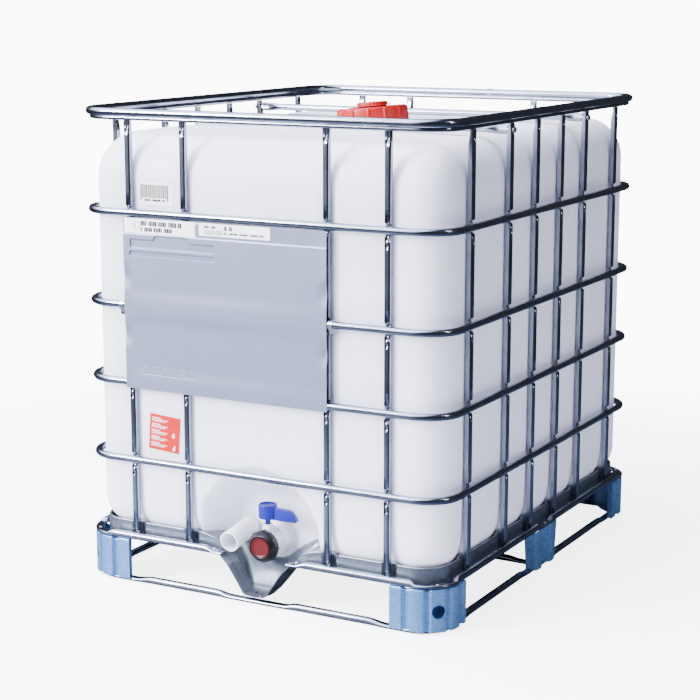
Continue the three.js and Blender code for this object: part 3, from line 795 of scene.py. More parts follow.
def upright_mesh():
    outline = upright_outline()
    fine = set()
    for rz in RING_Z:
        fine.update(np.round(rz + np.linspace(-48, 48, 39) * MM, 5))
    fine.update(np.round(np.linspace(UPRIGHT_LOW, UPRIGHT_LOW + 0.072, 28), 5))
    fine.update(np.round(np.linspace(UPRIGHT_HIGH - 0.044, UPRIGHT_HIGH, 18), 5))
    fine.update(np.round(np.arange(UPRIGHT_LOW + 0.08, UPRIGHT_HIGH - 0.05, 0.03), 5))
    levels = sorted(fine)
    rows, uv = [], []
    for z in levels:
        out, side = outline[:, 0].copy(), outline[:, 1].copy()
        outer = np.clip(out / (UPRIGHT_HALF * 0.55), 0, 1)
        out = out - dent(z, side) * outer
        near = max(window(z, rz, 0.004, 0.014) for rz in RING_Z + [BASE_Z])
        side = side * (1 + 0.10 * near)
        taper = float(smooth_step(z, UPRIGHT_HIGH - 40 * MM, UPRIGHT_HIGH - 8 * MM))
        out = np.where(out < 0, out + 5.0 * MM * taper * np.clip(-out / UPRIGHT_HALF, 0, 1), out)
        side = side * (1 + 0.12 * taper)
        for k in range(len(out)):
            rows.append((out[k], side[k], z))
            uv.append((k / len(out) * UPRIGHT_GIRTH, z))
    count = len(outline)
    return rows, grid_faces(len(levels), count) + end_caps(count, len(rows)), uv


SIDE_TURN = {"right": 0.0, "back": math.pi / 2, "left": math.pi, "front": -math.pi / 2}
rows, faces, uv = upright_mesh()
for node in UPRIGHTS:
    turn = SIDE_TURN[node.split("_")[1]]
    at = centre(node)
    spin = Matrix.Translation((at.x, at.y, 0)) @ Matrix.Rotation(turn, 4, "Z")
    piece(node.replace("upright", "upright_tube"), moved(rows, spin), faces, TUBE, node=node, uv=uv)

# %% [markdown]
# Resistance welding leaves two small beads above and two below each crossing, and dots where the upright
# meets the top ring. They catch the light, so each is a squashed half ball. A larger, brighter pad of bolt
# zinc sits in the dimple below each ring: a painted highlight for the glint at the dimple's end.

# %% Weld beads
def bead(batch, place, outward, width, height, depth):
    """A half ball flattened to the given size, facing outward."""
    side = Vector((-outward.y, outward.x, 0))
    rings_of_bead, around = 4, 10
    points = []
    for i in range(rings_of_bead):
        lift = math.sin(i / rings_of_bead * math.pi / 2)
        spread = math.cos(i / rings_of_bead * math.pi / 2)
        for a in np.linspace(0, 2 * math.pi, around, endpoint=False):
            rise = Vector((0, 0, height * spread * math.sin(a)))
            points.append(place + side * (width * spread * math.cos(a)) + rise + outward * depth * lift)
    points.append(place + outward * depth)
    faces = grid_faces(rings_of_bead, around)
    last = (rings_of_bead - 1) * around
    faces += [(last + k, last + (k + 1) % around, len(points) - 1) for k in range(around)]
    batch.add(points, faces)


welds = Batch()
dimple_glints = Batch()
for node in UPRIGHTS:
    at = centre(node)
    turn = SIDE_TURN[node.split("_")[1]]
    outward = Vector((math.cos(turn), math.sin(turn), 0))
    side = Vector((-outward.y, outward.x, 0))
    for rz in RING_Z:
        for up in (-1, 1):
            for s in (-1, 1):
                spot = Vector((at.x, at.y, rz + up * 7.6 * MM)) + side * s * 5.5 * MM + outward * 0.3 * MM
                bead(welds, spot, outward, 2.6 * MM, 2.0 * MM, 2.6 * MM)
        # Painted highlight: a brighter bolt-zinc pad stands for the glint at the end of the dimple below the
        # ring.
        spot = Vector((at.x, at.y, rz - 29 * MM)) + outward * 2.4 * MM
        bead(dimple_glints, spot, outward, 5.2 * MM, 9.5 * MM, 5.6 * MM)
    for s in (-7, -2.4, 2.4, 7):
        spot = Vector((at.x, at.y, LIP_Z - 2.2 * MM)) + side * s * MM + outward * 7.0 * MM
        bead(welds, spot, outward, 2.0 * MM, 2.4 * MM, 2.4 * MM)
        spot = Vector((at.x, at.y, LIP_Z - 2.2 * MM)) + side * s * MM - outward * 0.5 * MM
        bead(welds, spot, -outward, 2.0 * MM, 2.4 * MM, 2.4 * MM)
welds.make("cage_weld_beads", WELD, slot="galvanised_tube")
# The dimple pads are a painted highlight, made in the brighter bolt zinc rather than the tube's zinc.
dimple_glints.make("upright_dimple_glint_pads", BOLT_STEEL, slot="galvanised_tube", sharp_deg=80)
print("twenty uprights and their welds")

# %% [markdown]
# ## Bottle
# The bottle is blown into a mould, so it has no sharp edge. Its skin is a stack of rounded rectangles that
# shrink towards the top and bottom, pushed in by a shallow flute behind each upright. The flutes widen
# towards the top edge, which makes the scalloped shoulders. A domed recess is pressed into the front.

# %% Bottle skin
B_HALF_X, B_HALF_Y = size("bottle").x / 2, size("bottle").y / 2
B_TOP = 1.098
B_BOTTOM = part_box("bottle")[0][2]
B_CORNER = 0.070
TOP_IN, TOP_DOWN, BOTTOM_EDGE = 0.078, 0.105, 0.085
BULGE = 5.5 * MM
RECESS = {"z": 0.158, "radii": (0.163, 0.150, 0.128, 0.108), "depths": (0.0, 0.034, 0.070, 0.090)}


def bottle_section(inset, fx, fy):
    """(point, outward direction, side's axis, place along it) round one level, from the front's left end."""
    hx, hy = B_HALF_X - inset, B_HALF_Y - inset
    r = min(max(B_CORNER - 0.25 * inset, 0.03), hx - 0.002)
    cx, cy = hx - r, hy - r
    sides = [([(x * cx, -hy) for x in fx], (0, -1), "x", (cx, -cy)),
             ([(hx, y * cy) for y in fy], (1, 0), "y", (cx, cy)),
             ([(x * cx, hy) for x in fx[::-1]], (0, 1), "x", (-cx, cy)),
             ([(-hx, y * cy) for y in fy[::-1]], (-1, 0), "y", (-cx, -cy))]
    section = []
    for quarter, (run, normal, axis, middle) in enumerate(sides):
        for point in run:
            section.append((point, normal, axis, point[0] if axis == "x" else point[1]))
        first = (quarter - 1) * math.pi / 2
        for a in np.linspace(first, first + math.pi / 2, 14)[1:-1]:
            c, s = math.cos(a), math.sin(a)
            section.append(((middle[0] + r * c, middle[1] + r * s), (c, s), "corner", 0.0))
    return section


FLUTE_WIDTH = {"middle": 0.013, "top_more": 0.010, "low_more": 0.008}
FLUTE_DEEP = {"middle": 0.0080, "side_top_less": 0.002, "front_top_less": 0.0048, "low_more": 0.003}


def flute_depth(place, posts, z):
    """Depth of the flutes at a place along a side and a height."""
    top = float(smooth_step(z, B_TOP - 0.26, B_TOP - 0.02))
    low = float(1 - smooth_step(z, B_BOTTOM + 0.04, B_BOTTOM + 0.16))
    width = FLUTE_WIDTH["middle"] + FLUTE_WIDTH["top_more"] * top + FLUTE_WIDTH["low_more"] * low
    top_less = FLUTE_DEEP["side_top_less"] if posts is SIDE_Y else FLUTE_DEEP["front_top_less"]
    depth = FLUTE_DEEP["middle"] - top_less * top + FLUTE_DEEP["low_more"] * low
    return max(depth * math.exp(-((place - post) / width) ** 2) for post in posts)


def recess_depth(x, z):
    """How far the front is pushed in at this place: a dome that ends in a flat back."""
    r = math.hypot(x, z - RECESS["z"])
    radii, depths = RECESS["radii"][::-1], RECESS["depths"][::-1]
    return float(np.interp(r, radii, depths)) if r < RECESS["radii"][0] + 0.012 else 0.0


def eased_recess_depth(x, z):
    """The same dome averaged over a few millimetres, which rounds its lip and its corner."""
    spread = 0.007
    spots = [(0, 0), (spread, 0), (-spread, 0), (0, spread), (0, -spread)]
    return sum(recess_depth(x + dx, z + dz) for dx, dz in spots) / len(spots)


def bottle_levels():
    """Pairs of height and inset from the bottom's middle to the top's middle."""
    levels = [(B_BOTTOM + 0.001, inset) for inset in (0.40, 0.28, 0.17)]
    for a in np.linspace(0, math.pi / 2, 15):
        levels.append((B_BOTTOM + BOTTOM_EDGE * (1 - math.cos(a)), BOTTOM_EDGE * (1 - math.sin(a))))
    levels += [(z, 0.0) for z in np.arange(B_BOTTOM + BOTTOM_EDGE + 0.007, 0.345, 0.007)]
    levels += [(z, 0.0) for z in np.arange(0.355, B_TOP - TOP_DOWN - 0.006, 0.014)]
    for a in np.linspace(0, math.pi / 2, 18):
        levels.append((B_TOP - TOP_DOWN * (1 - math.sin(a)), TOP_IN * (1 - math.cos(a))))
    levels += [(B_TOP + 0.0006 * k, TOP_IN + 0.05 * k) for k in range(1, 7)]
    return levels


def bottle_skin():
    fx = np.unique(np.round(np.concatenate([np.linspace(-1, 1, 41), np.linspace(-0.56, 0.56, 71)]), 4))
    fy = np.linspace(-1, 1, 121)
    posts = {"x": FRONT_X, "y": SIDE_Y}
    rows = []
    for z, inset in bottle_levels():
        section = bottle_section(inset, fx, fy)
        fade = 1.0 if z <= B_TOP - 1e-6 else max(0.0, 1 - (inset - TOP_IN) / 0.12)
        upright_part = math.cos(min(1.0, max(0.0, (z - (B_TOP - TOP_DOWN)) / TOP_DOWN)) * math.pi / 2)
        for (x, y), (nx, ny), axis, place in section:
            push = flute_depth(place, posts[axis], z) if axis in posts else 0.0
            shift = (BULGE - push) * (0.35 + 0.65 * upright_part) * fade
            px, py, pz = x + nx * shift, y + ny * shift, z - push * (1 - upright_part) * 0.5 * fade
            front = -B_HALF_Y + eased_recess_depth(px, pz)
            if py < 0 and front > -B_HALF_Y + 0.0005:
                py = max(py, front)
            rows.append((px, py, pz))
    columns = len(section)
    return rows, grid_faces(len(rows) // columns, columns) + end_caps(columns, len(rows))


rows, faces = bottle_skin()
bottle_batch = Batch()
bottle_batch.add(rows, faces)
print("bottle skin points", len(rows))

# %% [markdown]
# The neck leans a little and carries rings that stand for its coarse thread. The outlet is a short welded
# socket at the back of the recess. Both are turned shapes that go into the same mesh as the skin.

# %% Neck and outlet socket
JOINT = {j["name"]: j for j in frame["joints"]}
NECK_AXIS = Vector(JOINT["lid_turn"]["axis"]).normalized()
NECK_AT = Vector(JOINT["lid_turn"]["pos_m"])
NECK_LEAN = Vector((0, 0, 1)).rotation_difference(NECK_AXIS).to_matrix().to_4x4()
NECK_FRAME = Matrix.Translation(NECK_AT) @ NECK_LEAN
OUTLET_Z = JOINT["outlet_cap_turn"]["pos_m"][2]
OUTLET_FRAME = Matrix.Translation((0, 0, OUTLET_Z)) @ Matrix.Rotation(math.radians(90), 4, "X")

neck_pairs = [(128, -34), (118, -20), (106, -11), (98, -6), (90, -3.4), (84.4, -2.6), (84, 0)]
for turn_z in range(4, 32, 7):
    neck_pairs += [(82.6, turn_z - 2.4), (84.0, turn_z - 0.8), (84.0, turn_z + 0.8), (82.6, turn_z + 2.4)]
neck_pairs += [(82.6, 33.2), (81.8, 34), (76, 34), (75, 33), (75, -30)]
bottle_batch.add_turned(neck_pairs, NECK_FRAME, 72)
socket_pairs = [(56, 474), (50, 481), (40, 485), (31.5, 489), (31, 506.2), (30.2, 507), (26, 507),
                (25, 506), (25, 470)]
bottle_batch.add_turned(socket_pairs, OUTLET_FRAME, 56)
bottle_batch.make("bottle_blown_skin", BOTTLE_PLASTIC, sharp_deg=60,
                  node=["bottle", "bottle_neck", "bottle_outlet_socket"])
print("bottle neck and outlet socket")

# %% [markdown]
# ## Crossbars
# Two tubes hold the bottle down. Each end is pressed flat and turned a little, and a screw pulls it against
# the upright. The tube keeps its perimeter while it is pressed, so the strip is wider.

# %% Crossbars and their bolts
for node in ("crossbar_front", "crossbar_back"):
    middle = centre(node)
    reach = size(node).x / 2
    stations = np.concatenate([np.linspace(-reach, -reach + 0.06, 20),
                               np.linspace(-reach + 0.08, reach - 0.08, 24),
                               np.linspace(reach - 0.06, reach, 20)])
    rows, uv = [], []
    for x in stations:
        flat = float(smooth_step(abs(x), reach - 0.052, reach - 0.020))
        twist = math.radians(90 - 14 * flat)
        outline = squashed(TUBE_R * 0.98, flat * 0.95, 0.36)
        for k, (a, b) in enumerate(outline):
            y = a * math.cos(twist) - b * math.sin(twist)
            z = a * math.sin(twist) + b * math.cos(twist)
            rows.append((x, middle.y + y, middle.z + z))
            uv.append((k / len(outline) * TUBE_GIRTH, x))
    faces = grid_faces(len(stations), SIDES_OF_TUBE) + end_caps(SIDES_OF_TUBE, len(rows))
    piece(node + "_tube", rows, faces, TUBE, node=node, uv=uv)

bolt_pairs = [(0.01, 1.6), (2.6, 1.6), (3.1, 4.7), (4.6, 4.9), (6.2, 4.2), (7.0, 2.6), (7.0, 1.3),
              (8.0, 1.1), (8.0, 0.0), (4.0, -0.1), (4.0, -36.0), (3.4, -36.6), (0.01, -36.6)]
for node in sorted(k for k in frame["nodes"] if k.startswith("crossbar_bolt")):
    low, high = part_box(node)
    right = low.x > 0
    seat = (high.x - 5 * MM) if right else (low.x + 5 * MM)
    turn = Matrix.Rotation(math.radians(90 if right else -90), 4, "Y")
    place = Matrix.Translation((seat, centre(node).y, centre(node).z)) @ turn
    turned_piece(node + "_screw", bolt_pairs, place, BOLT_STEEL, 32, node=node)
print("two crossbars, four screws")

# %% [markdown]
# ## Tray
# The tray is one deep-drawn sheet. Its rim stands up all round with a rolled edge, and is pressed inwards
# where an upright stands. At the front it swings down in an S on both sides into the drain trough. The
# trough is a smooth bowl that rises behind the valve, so its height is written as a function of place.

# %% Tray surfaces
TRAY_FLOOR = 0.111
RIM_TOP = 0.150
RIM_HALF_X = 0.4717
RIM_HALF_Y = 0.5717
RIM_FOOT = 0.109
FRONT_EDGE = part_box("pallet_tray")[0][1]
SADDLE_HALF_X = 0.226
SADDLE_BACK = -0.438
STEP_FRONT = -0.5715
TROUGH_PROFILE = [(0, 19.5), (26, 22), (34, 28), (42, 42), (74, 88), (98, 112), (103, 119), (110, 129),
                  (126, 140), (154, 147.5), (176, 150), (205, 150), (222, 111), (240, 111)]


def trough_wall(x):
    xs, zs = zip(*TROUGH_PROFILE)
    spread = np.array([-5, -2.5, 0, 2.5, 5])
    return float(np.mean(np.interp(np.clip(abs(x) / MM + spread, 0, 240), xs, zs))) * MM


def saddle_height(x, y):
    """Height of the sheet near the trough: the wall profile, and a bowl that rises to the recess."""
    wall = trough_wall(x)
    ax = abs(x) / MM
    if ax < 50:
        seat = 88 + 0.010 * ax ** 2
    elif ax < 70:
        seat = 113 + 15 * (ax - 50) / 20
    else:
        seat = 128 + 0.58 * (ax - 70)
    back = (19.5 + (min(seat, 150) - 19.5) * float(smooth_step(y / MM, -566, -478))) * MM
    z = wall
    if back > wall - 0.014:
        z = wall + (back - wall) * float(smooth_step((back - wall) / MM, -14, 14))
    steps = float(smooth_step(y / MM, -575, -571)) + float(smooth_step(y / MM, -544, -540))
    in_trough = float(1 - smooth_step(ax, 96, 108)) * float(1 - smooth_step(y / MM, -530, -500))
    z += (1.6 - 0.8 * 2.2 * steps) * MM * in_trough
    return z + (TRAY_FLOOR - z) * float(smooth_step(y / MM, -466, -440))


def sheet_grid(xs, ys, height, thick, batch):
    """A pressed sheet over a grid of places, with its underside and its edges."""
    top = [(x, y, height(x, y)) for y in ys for x in xs]
    nx, ny = len(xs), len(ys)
    under = []
    for i, point in enumerate(top):
        row, col = divmod(i, nx)
        left, right = top[row * nx + max(col - 1, 0)], top[row * nx + min(col + 1, nx - 1)]
        near, far = top[max(row - 1, 0) * nx + col], top[min(row + 1, ny - 1) * nx + col]
        normal = (Vector(right) - Vector(left)).cross(Vector(far) - Vector(near)).normalized()
        if normal.z < 0:
            normal = -normal
        under.append(tuple(Vector(point) - normal * thick))
    batch.add_sheet(top, under, ny, nx)


tray = Batch()
xs = np.linspace(-SADDLE_HALF_X, SADDLE_HALF_X, 121)
ys = np.concatenate([np.linspace(STEP_FRONT, -0.47, 40), np.linspace(-0.466, SADDLE_BACK, 8)])
sheet_grid(xs, ys, saddle_height, 2 * MM, tray)
xs = np.linspace(-0.103, 0.103, 61)
ys = np.linspace(FRONT_EDGE + 0.5 * MM, STEP_FRONT, 10)
sheet_grid(xs, ys, saddle_height, 2 * MM, tray)

path = ring_path(RIM_HALF_X - 1.5 * MM, RIM_HALF_Y - 1.5 * MM, 0.070, straight_step=0.2, corner_steps=10)
outline = [(p.x, p.y) for p in path[0] if not (p.y < -0.56 and abs(p.x) < 0.23)]
outline += [(-SADDLE_HALF_X, -0.5702), (-SADDLE_HALF_X, SADDLE_BACK), (SADDLE_HALF_X, SADDLE_BACK),
            (SADDLE_HALF_X, -0.5702)]
count = len(outline)
floor_points = [(x, y, z) for z in (TRAY_FLOOR, TRAY_FLOOR - 2 * MM) for x, y in outline]
tray.add(floor_points, [tuple(range(count)), tuple(range(count, 2 * count))[::-1]])


def rim_top_at(p):
    """Height of the rolled edge: level all round, and an S down to the trough at the front."""
    if p.y > -RIM_HALF_Y + 1e-6 or abs(p.x) > 0.21:
        return RIM_TOP
    return min(RIM_TOP, trough_wall(abs(p.x)) + 2 * MM)


def rim_dent_at(p):
    """The rim is pressed in beside each upright."""
    if abs(p.y) > RIM_HALF_Y - 1e-6:
        near = min(abs(p.x - x) for x in FRONT_X)
    elif abs(p.x) > RIM_HALF_X - 1e-6:
        near = min(abs(p.y - y) for y in SIDE_Y)
    else:
        return 0.0
    return 7.5 * MM * float(1 - smooth_step(near, 13 * MM, 19 * MM))


TROUGH_MOUTH = 0.1035
points, outward, _ = opened(ring_path(RIM_HALF_X, RIM_HALF_Y, 0.072, straight_step=0.004, corner_steps=16),
                            lambda p: not (p.y < -RIM_HALF_Y + 1e-6 and abs(p.x) < TROUGH_MOUTH))
roll = 2.8 * MM
rows = []
for p, o in zip(points, outward):
    top, dent_in = rim_top_at(p), rim_dent_at(p)
    outline = [(0.0, RIM_FOOT), (0.0, top - 2.2 * roll)]
    outline += [(-roll + roll * math.cos(a), top - roll + roll * math.sin(a))
                for a in np.linspace(math.radians(-10), math.radians(215), 10)]
    outline += [(-2 * MM, top - 2.6 * roll), (-2 * MM, RIM_FOOT)]
    for out, z in outline:
        rows.append((p.x + o.x * (out - dent_in), p.y + o.y * (out - dent_in), z))
tray.add(rows, grid_faces(len(points), len(outline)) + end_caps(len(outline), len(rows)))
tray.make("tray_pressing", TRAY_SHEET, node="pallet_tray", sharp_deg=50)
print("tray with", len(tray.faces), "faces")

# %% [markdown]
# Two rivets hold the base ring's flat ends to the tray, one sits in the trough's floor beside two drain
# holes, and a screw goes through each flattened stretch of the base ring. The drain holes are painted shade:
# flat black rubber discs laid on the trough's floor.

# %% Rivets and screws of the pallet
fixings = Batch()


def fixing(at, radius_mm, height_mm, axis=(0, 0, 1)):
    """A domed head standing on the given point."""
    pairs = [(1.0, 0.0), (1.0, 0.35), (0.86, 0.7), (0.55, 0.95), (0.01, 1.0)]
    turn = Vector((0, 0, 1)).rotation_difference(Vector(axis)).to_matrix().to_4x4()
    scaled = [(r * radius_mm, h * height_mm) for r, h in pairs]
    fixings.add_turned(scaled, Matrix.Translation(at) @ turn, 20)


for sx in (-1, 1):
    fixing((sx * 0.114, -BASE_HALF_Y - 1 * MM, BASE_Z + 2.2 * MM), 4.2, 2.6, (0, -0.35, 1))
    for sy in (-1, 1):
        fixing((sx * CORNER_MIDDLE_X, sy * CORNER_MIDDLE_Y, BASE_Z - 2.6 * MM), 5.2, 3.8)
    fixing((sx * BASE_HALF_X, 0, BASE_Z - 2.6 * MM), 5.2, 3.8)
fixing((0, BASE_HALF_Y, BASE_Z - 2.6 * MM), 5.2, 3.8)
fixing((0.012, -0.588, 0.0205), 3.6, 2.2)
fixings.make("pallet_rivets_and_screws", BOLT_STEEL, slot="zinc_bolt")
# Painted shade: each drain hole is a flat black disc on the trough's floor, not an opening.
drain_hole_shade = Batch()
for x, y in ((-0.012, -0.566), (0.022, -0.562)):
    at = Matrix.Translation((x, y, saddle_height(x, y) + 0.2 * MM))
    drain_hole_shade.add_turned([(0.01, 0), (3.4, 0.0), (3.9, 0.5)], at, 20)
drain_hole_shade.make("trough_drain_hole_shade_discs", SEAL_RUBBER, slot="pressed_tray")
print("rivets and screws")

# %% [markdown]
# ## Feet
# The feet are folded from thin sheet, then zinc plated and passivated, which leaves the pale blue. Upright
# flutes stiffen them, and the top edge follows the flutes in a wave. The corner panel has a strap hole,
# and a folded web behind it closes the foot, so the hole looks dark. The right foot is cut once for each
# end and mirrored to the left.

# %% Corner feet
FOOT_Z0, FOOT_Z1 = [corner[2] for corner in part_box("foot_front_right")]
SHEET = 2.5 * MM
FLUTE_CENTRES = ((27.0, 9.0), (80.0, 11.0))
FLUTE_DEPTH = 9.0
FOOT_REACH_DOWN = 11 * MM


def flute_at(from_corner_mm):
    """How far the sheet is pressed in at a distance along it from the middle of the corner panel."""
    depth = 0.0
    for middle, half in FLUTE_CENTRES:
        off = abs(abs(from_corner_mm) - middle)
        depth = max(depth, FLUTE_DEPTH * float(1 - smooth_step(off, half - 6.5, half - 0.5)))
    return depth * MM


def foot_outline(length_x, length_y):
    """The outer run of the +X -Y foot from its front end: point, inward direction and flute depth."""
    r = CORNER_R
    run = [(Vector((-t, 0)), Vector((0, 1))) for t in np.arange(length_x, r, -2 * MM)]
    for a in np.linspace(0, math.pi / 2, 48):
        inward = Vector((-math.sin(a), math.cos(a)))
        run.append((Vector((-r + r * math.sin(a), r - r * math.cos(a))), inward))
    run += [(Vector((0, t)), Vector((-1, 0))) for t in np.arange(r + 2 * MM, length_y, 2 * MM)]
    corner_middle = length_x - r + r * math.pi / 4
    out, walked = [], 0.0
    for i, (p, inward) in enumerate(run):
        if i:
            walked += (p - run[i - 1][0]).length
        depth = flute_at((walked - corner_middle) / MM)
        out.append((p + inward * depth, inward, depth))
    return out


def corner_foot(length_x, length_y):
    """The folded sheet: an outer run with a short return at each free end, and a flange along the top."""
    run = foot_outline(length_x, length_y)
    first, last = run[0], run[-1]
    lead_in = [(first[0] + Vector((1.5 * MM, 14 * MM)), Vector((1, 0)), 0.0),
               (first[0] + Vector((0.2 * MM, 3 * MM)), Vector((0.8, 0.6)), 0.0)]
    lead_out = [(last[0] + Vector((-3 * MM, -0.2 * MM)), Vector((-0.6, -0.8)), 0.0),
                (last[0] + Vector((-14 * MM, -1.5 * MM)), Vector((0, -1)), 0.0)]
    ring = lead_in + run + lead_out
    steps = [(9 * MM, 1.0), (4 * MM, 1.0), (1 * MM, 0.995)]
    low = FOOT_Z0 - FOOT_REACH_DOWN
    outer, inner = [], []
    for inset, t in steps:
        for p, inward, depth in ring:
            top = FOOT_Z1 - 0.7 * depth
            outer.append((p.x + inward.x * inset, p.y + inward.y * inset, low + (top - low) * t))
            inner.append((p.x + inward.x * inset, p.y + inward.y * inset, low + (top - low) * t - SHEET))
    for t in np.linspace(0.985, 0.0, 17):
        for p, inward, depth in ring:
            top = FOOT_Z1 - 0.7 * depth
            z = low + (top - low) * t
            outer.append((p.x, p.y, z))
            inner.append((p.x + inward.x * SHEET, p.y + inward.y * SHEET, min(z, top - 1.5 * SHEET)))
    columns = len(ring)
    faces = [tuple(reversed(face)) for face in folded_faces(len(outer) // columns, columns)]
    return outer + inner, faces


def closed_turned(pairs_mm, segments=40):
    """A turned shape with both ends closed."""
    points, faces = turned(pairs_mm, segments)
    return points, faces + end_caps(segments, len(points))


def plain_object(name, points, faces):
    """An object for working on, without material or place in the part."""
    mesh = bpy.data.meshes.new(name)
    mesh.from_pydata(points, [], faces)
    mesh.update()
    obj = bpy.data.objects.new(name, mesh)
    bpy.context.collection.objects.link(obj)
    return obj


def drilled(points, faces, cutter_points, cutter_faces):
    """Points and faces of a closed shape with another closed shape taken out of it."""
    body = plain_object("body", points, faces)
    cutter = plain_object("cutter", cutter_points, cutter_faces)
    modifier = body.modifiers.new("hole", "BOOLEAN")
    modifier.operation = "DIFFERENCE"
    modifier.solver = "EXACT"
    modifier.object = cutter
    bpy.context.view_layer.update()
    apply_modifiers(body)
    points = [tuple(v.co) for v in body.data.vertices]
    faces = [tuple(p.vertices) for p in body.data.polygons]
    bpy.data.objects.remove(cutter)
    bpy.data.objects.remove(body)
    return points, faces


def strap_hole():
    """A round cutter across the corner panel, 32 mm wide."""
    points, faces = closed_turned([(16, -10), (16, 40)])
    lay = Matrix.Rotation(math.radians(45), 4, "Z") @ Matrix.Rotation(math.radians(-90), 4, "X")
    height = FOOT_Z0 + 0.42 * (FOOT_Z1 - FOOT_Z0)
    return [(x, y, z + height) for x, y, z in moved(points, lay)], faces


def corner_web():
    """Two narrow walls behind the corner panel, which close the foot from inside."""
    low, high = FOOT_Z0 - FOOT_REACH_DOWN, FOOT_Z1 - 6 * MM
    reach = [(-104 * MM, 10 * MM), (-62 * MM, 62 * MM), (-10 * MM, 104 * MM)]
    points = [(x + t, y - t, z) for t in (0, 1.5 * MM) for z in (low, high) for x, y in reach]
    faces = [(0, 1, 4, 3), (1, 2, 5, 4), (9, 10, 7, 6), (10, 11, 8, 7), (3, 4, 10, 9), (4, 5, 11, 10),
             (6, 7, 1, 0), (7, 8, 2, 1), (0, 3, 9, 6), (8, 11, 5, 2)]
    return points, faces


for place in ("front", "back"):
    sy = 1 if place == "front" else -1
    lengths = size(f"foot_{place}_right")
    pressing = drilled(*corner_foot(lengths.x, lengths.y), *strap_hole())
    for side, sx in (("right", 1), ("left", -1)):
        node = f"foot_{place}_{side}"
        low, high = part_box(node)
        corner = Vector((high.x if sx > 0 else low.x, low.y if sy > 0 else high.y))
        for part, (points, faces) in (("pressing", pressing), ("web", corner_web())):
            placed = [(corner.x + sx * x, corner.y + sy * y, z) for x, y, z in points]
            facing = [tuple(reversed(face)) for face in faces] if sx * sy < 0 else faces
            piece(f"{node}_{part}", placed, facing, FOOT_SHEET, node=node, sharp_deg=50)
print("four corner feet")

# %% [markdown]
# The middle feet stand under the long sides and the back. Each is a tapered channel with a deep recess down
# its middle and a rounded band on either side of it.

# %% Middle feet
def middle_foot(half):
    """Made about the origin with its outer face on x = 0: a recess between two bands, two tapered sides."""
    across = np.linspace(-1, 1, 57)
    levels = np.linspace(0, 1, 21)
    low, high = FOOT_Z0 - FOOT_REACH_DOWN, FOOT_Z1 - 1 * MM
    outer, inner = [], []
    for t in levels:
        wide = half - 14 * MM * (1 - t)
        for u in across:
            band = abs(abs(u) - 0.55)
            groove = 20 * MM * float(1 - smooth_step(abs(u), 0.16, 0.40)) * (1.0 - 0.35 * t)
            arch = 3.0 * MM * float(1 - smooth_step(band, 0.0, 0.2)) * math.sin(math.pi * min(1, t + 0.1))
            edge = float(smooth_step(abs(u), 0.80, 1.0))
            fold = edge * edge * 26 * MM
            x = -(groove + fold) - 2.2 * MM + min(arch, 2.0 * MM) * (1 - edge)
            z = low + (high - low) * t
            outer.append((x, wide * u, z))
            inner.append((x - SHEET, wide * u * 0.965, z))
    return outer + inner, folded_faces(len(levels), len(across))


for node, turn in (("foot_middle_right", 0), ("foot_middle_left", 180), ("foot_middle_back", 90)):
    low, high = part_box(node)
    spin = Matrix.Rotation(math.radians(turn), 4, "Z")
    outer_face = {"right": (high.x, 0), "left": (low.x, 0), "back": (0, high.y)}[node.split("_")[-1]]
    points, faces = middle_foot(max(size(node).x, size(node).y) / 2)
    place = Matrix.Translation((outer_face[0], outer_face[1], 0)) @ spin
    piece(node + "_pressing", moved(points, place), faces, FOOT_SHEET, node=node, sharp_deg=50)
print("three middle feet")

# %% [markdown]
# ## Identification plate
# A thin zinc-coated sheet is held to the cage by two clips. It is stamped with a stepped outline and long
# rounded bars, and carries two white labels whose printing is shown as plain blocks.

# %% Plate, its stamping and its labels
P_LOW, P_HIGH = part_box("id_plate")
PLATE_Y = P_LOW.y + 0.45 * MM


def bar_distance(x, z, x0, x1, z0, z1, r):
    """Signed distance to a bar with rounded corners; negative inside."""
    dx = max(x0 + r - x, x - (x1 - r), 0.0)
    dz = max(z0 + r - z, z - (z1 - r), 0.0)
    inside = max(x0 - x, x - x1, z0 - z, z - z1)
    return math.hypot(dx, dz) - r if (dx > 0 and dz > 0) else inside


TAB_STEPS = [(-0.336, 0.855), (-0.270, 0.855), (-0.262, 0.866), (-0.179, 0.866), (-0.167, 0.853),
             (-0.101, 0.853)]
TAB_LOW, BAR_LOW, BAR_HIGH = 0.832, 0.812, 0.826
NAME_BARS = [(-0.306 + 0.026 * k, -0.288 + 0.026 * k) for k in range(6)]


def stamp_depth(x, z):
    """How far the plate is pressed in: a tab, a long bar, six short bars and a sway between the rings."""
    tab_x, tab_z = zip(*TAB_STEPS)
    tab_top = float(np.interp(x, tab_x, tab_z))
    tab = max(bar_distance(x, z, tab_x[0], tab_x[-1], TAB_LOW, 0.90, 5 * MM), (z - tab_top) * 0.8)
    bar = bar_distance(x, z, -0.338, -0.098, BAR_LOW, BAR_HIGH, 6 * MM)
    names = min(bar_distance(x, z, x0, x1, 0.531, 0.551, 2 * MM) for x0, x1 in NAME_BARS)
    deep = 3.2 * MM * float(1 - smooth_step(min(tab, bar), -2.4 * MM, 0.0))
    faint = 0.5 * MM * float(1 - smooth_step(abs(names), 0.3 * MM, 1.8 * MM))
    sway = 0.9 * MM * (1 + math.sin((x - P_LOW.x) * 7.0) * math.sin((z - P_LOW.z) * 6.0 + 0.6))
    ledge = 0.9 * MM * float(smooth_step(z, 0.865, 0.868))
    edge = float(smooth_step(min(x - P_LOW.x, P_HIGH.x - x), 0.0, 0.03))
    pinch = 3.5 * MM * max(window(z, place, 0.0, 0.035) for place in (0.762, 0.623)) * (1 - edge)
    clear = 1 - max(window(z, rz, 0.010, 0.035) for rz in RING_Z)
    return deep + faint + sway * edge * clear + ledge + pinch


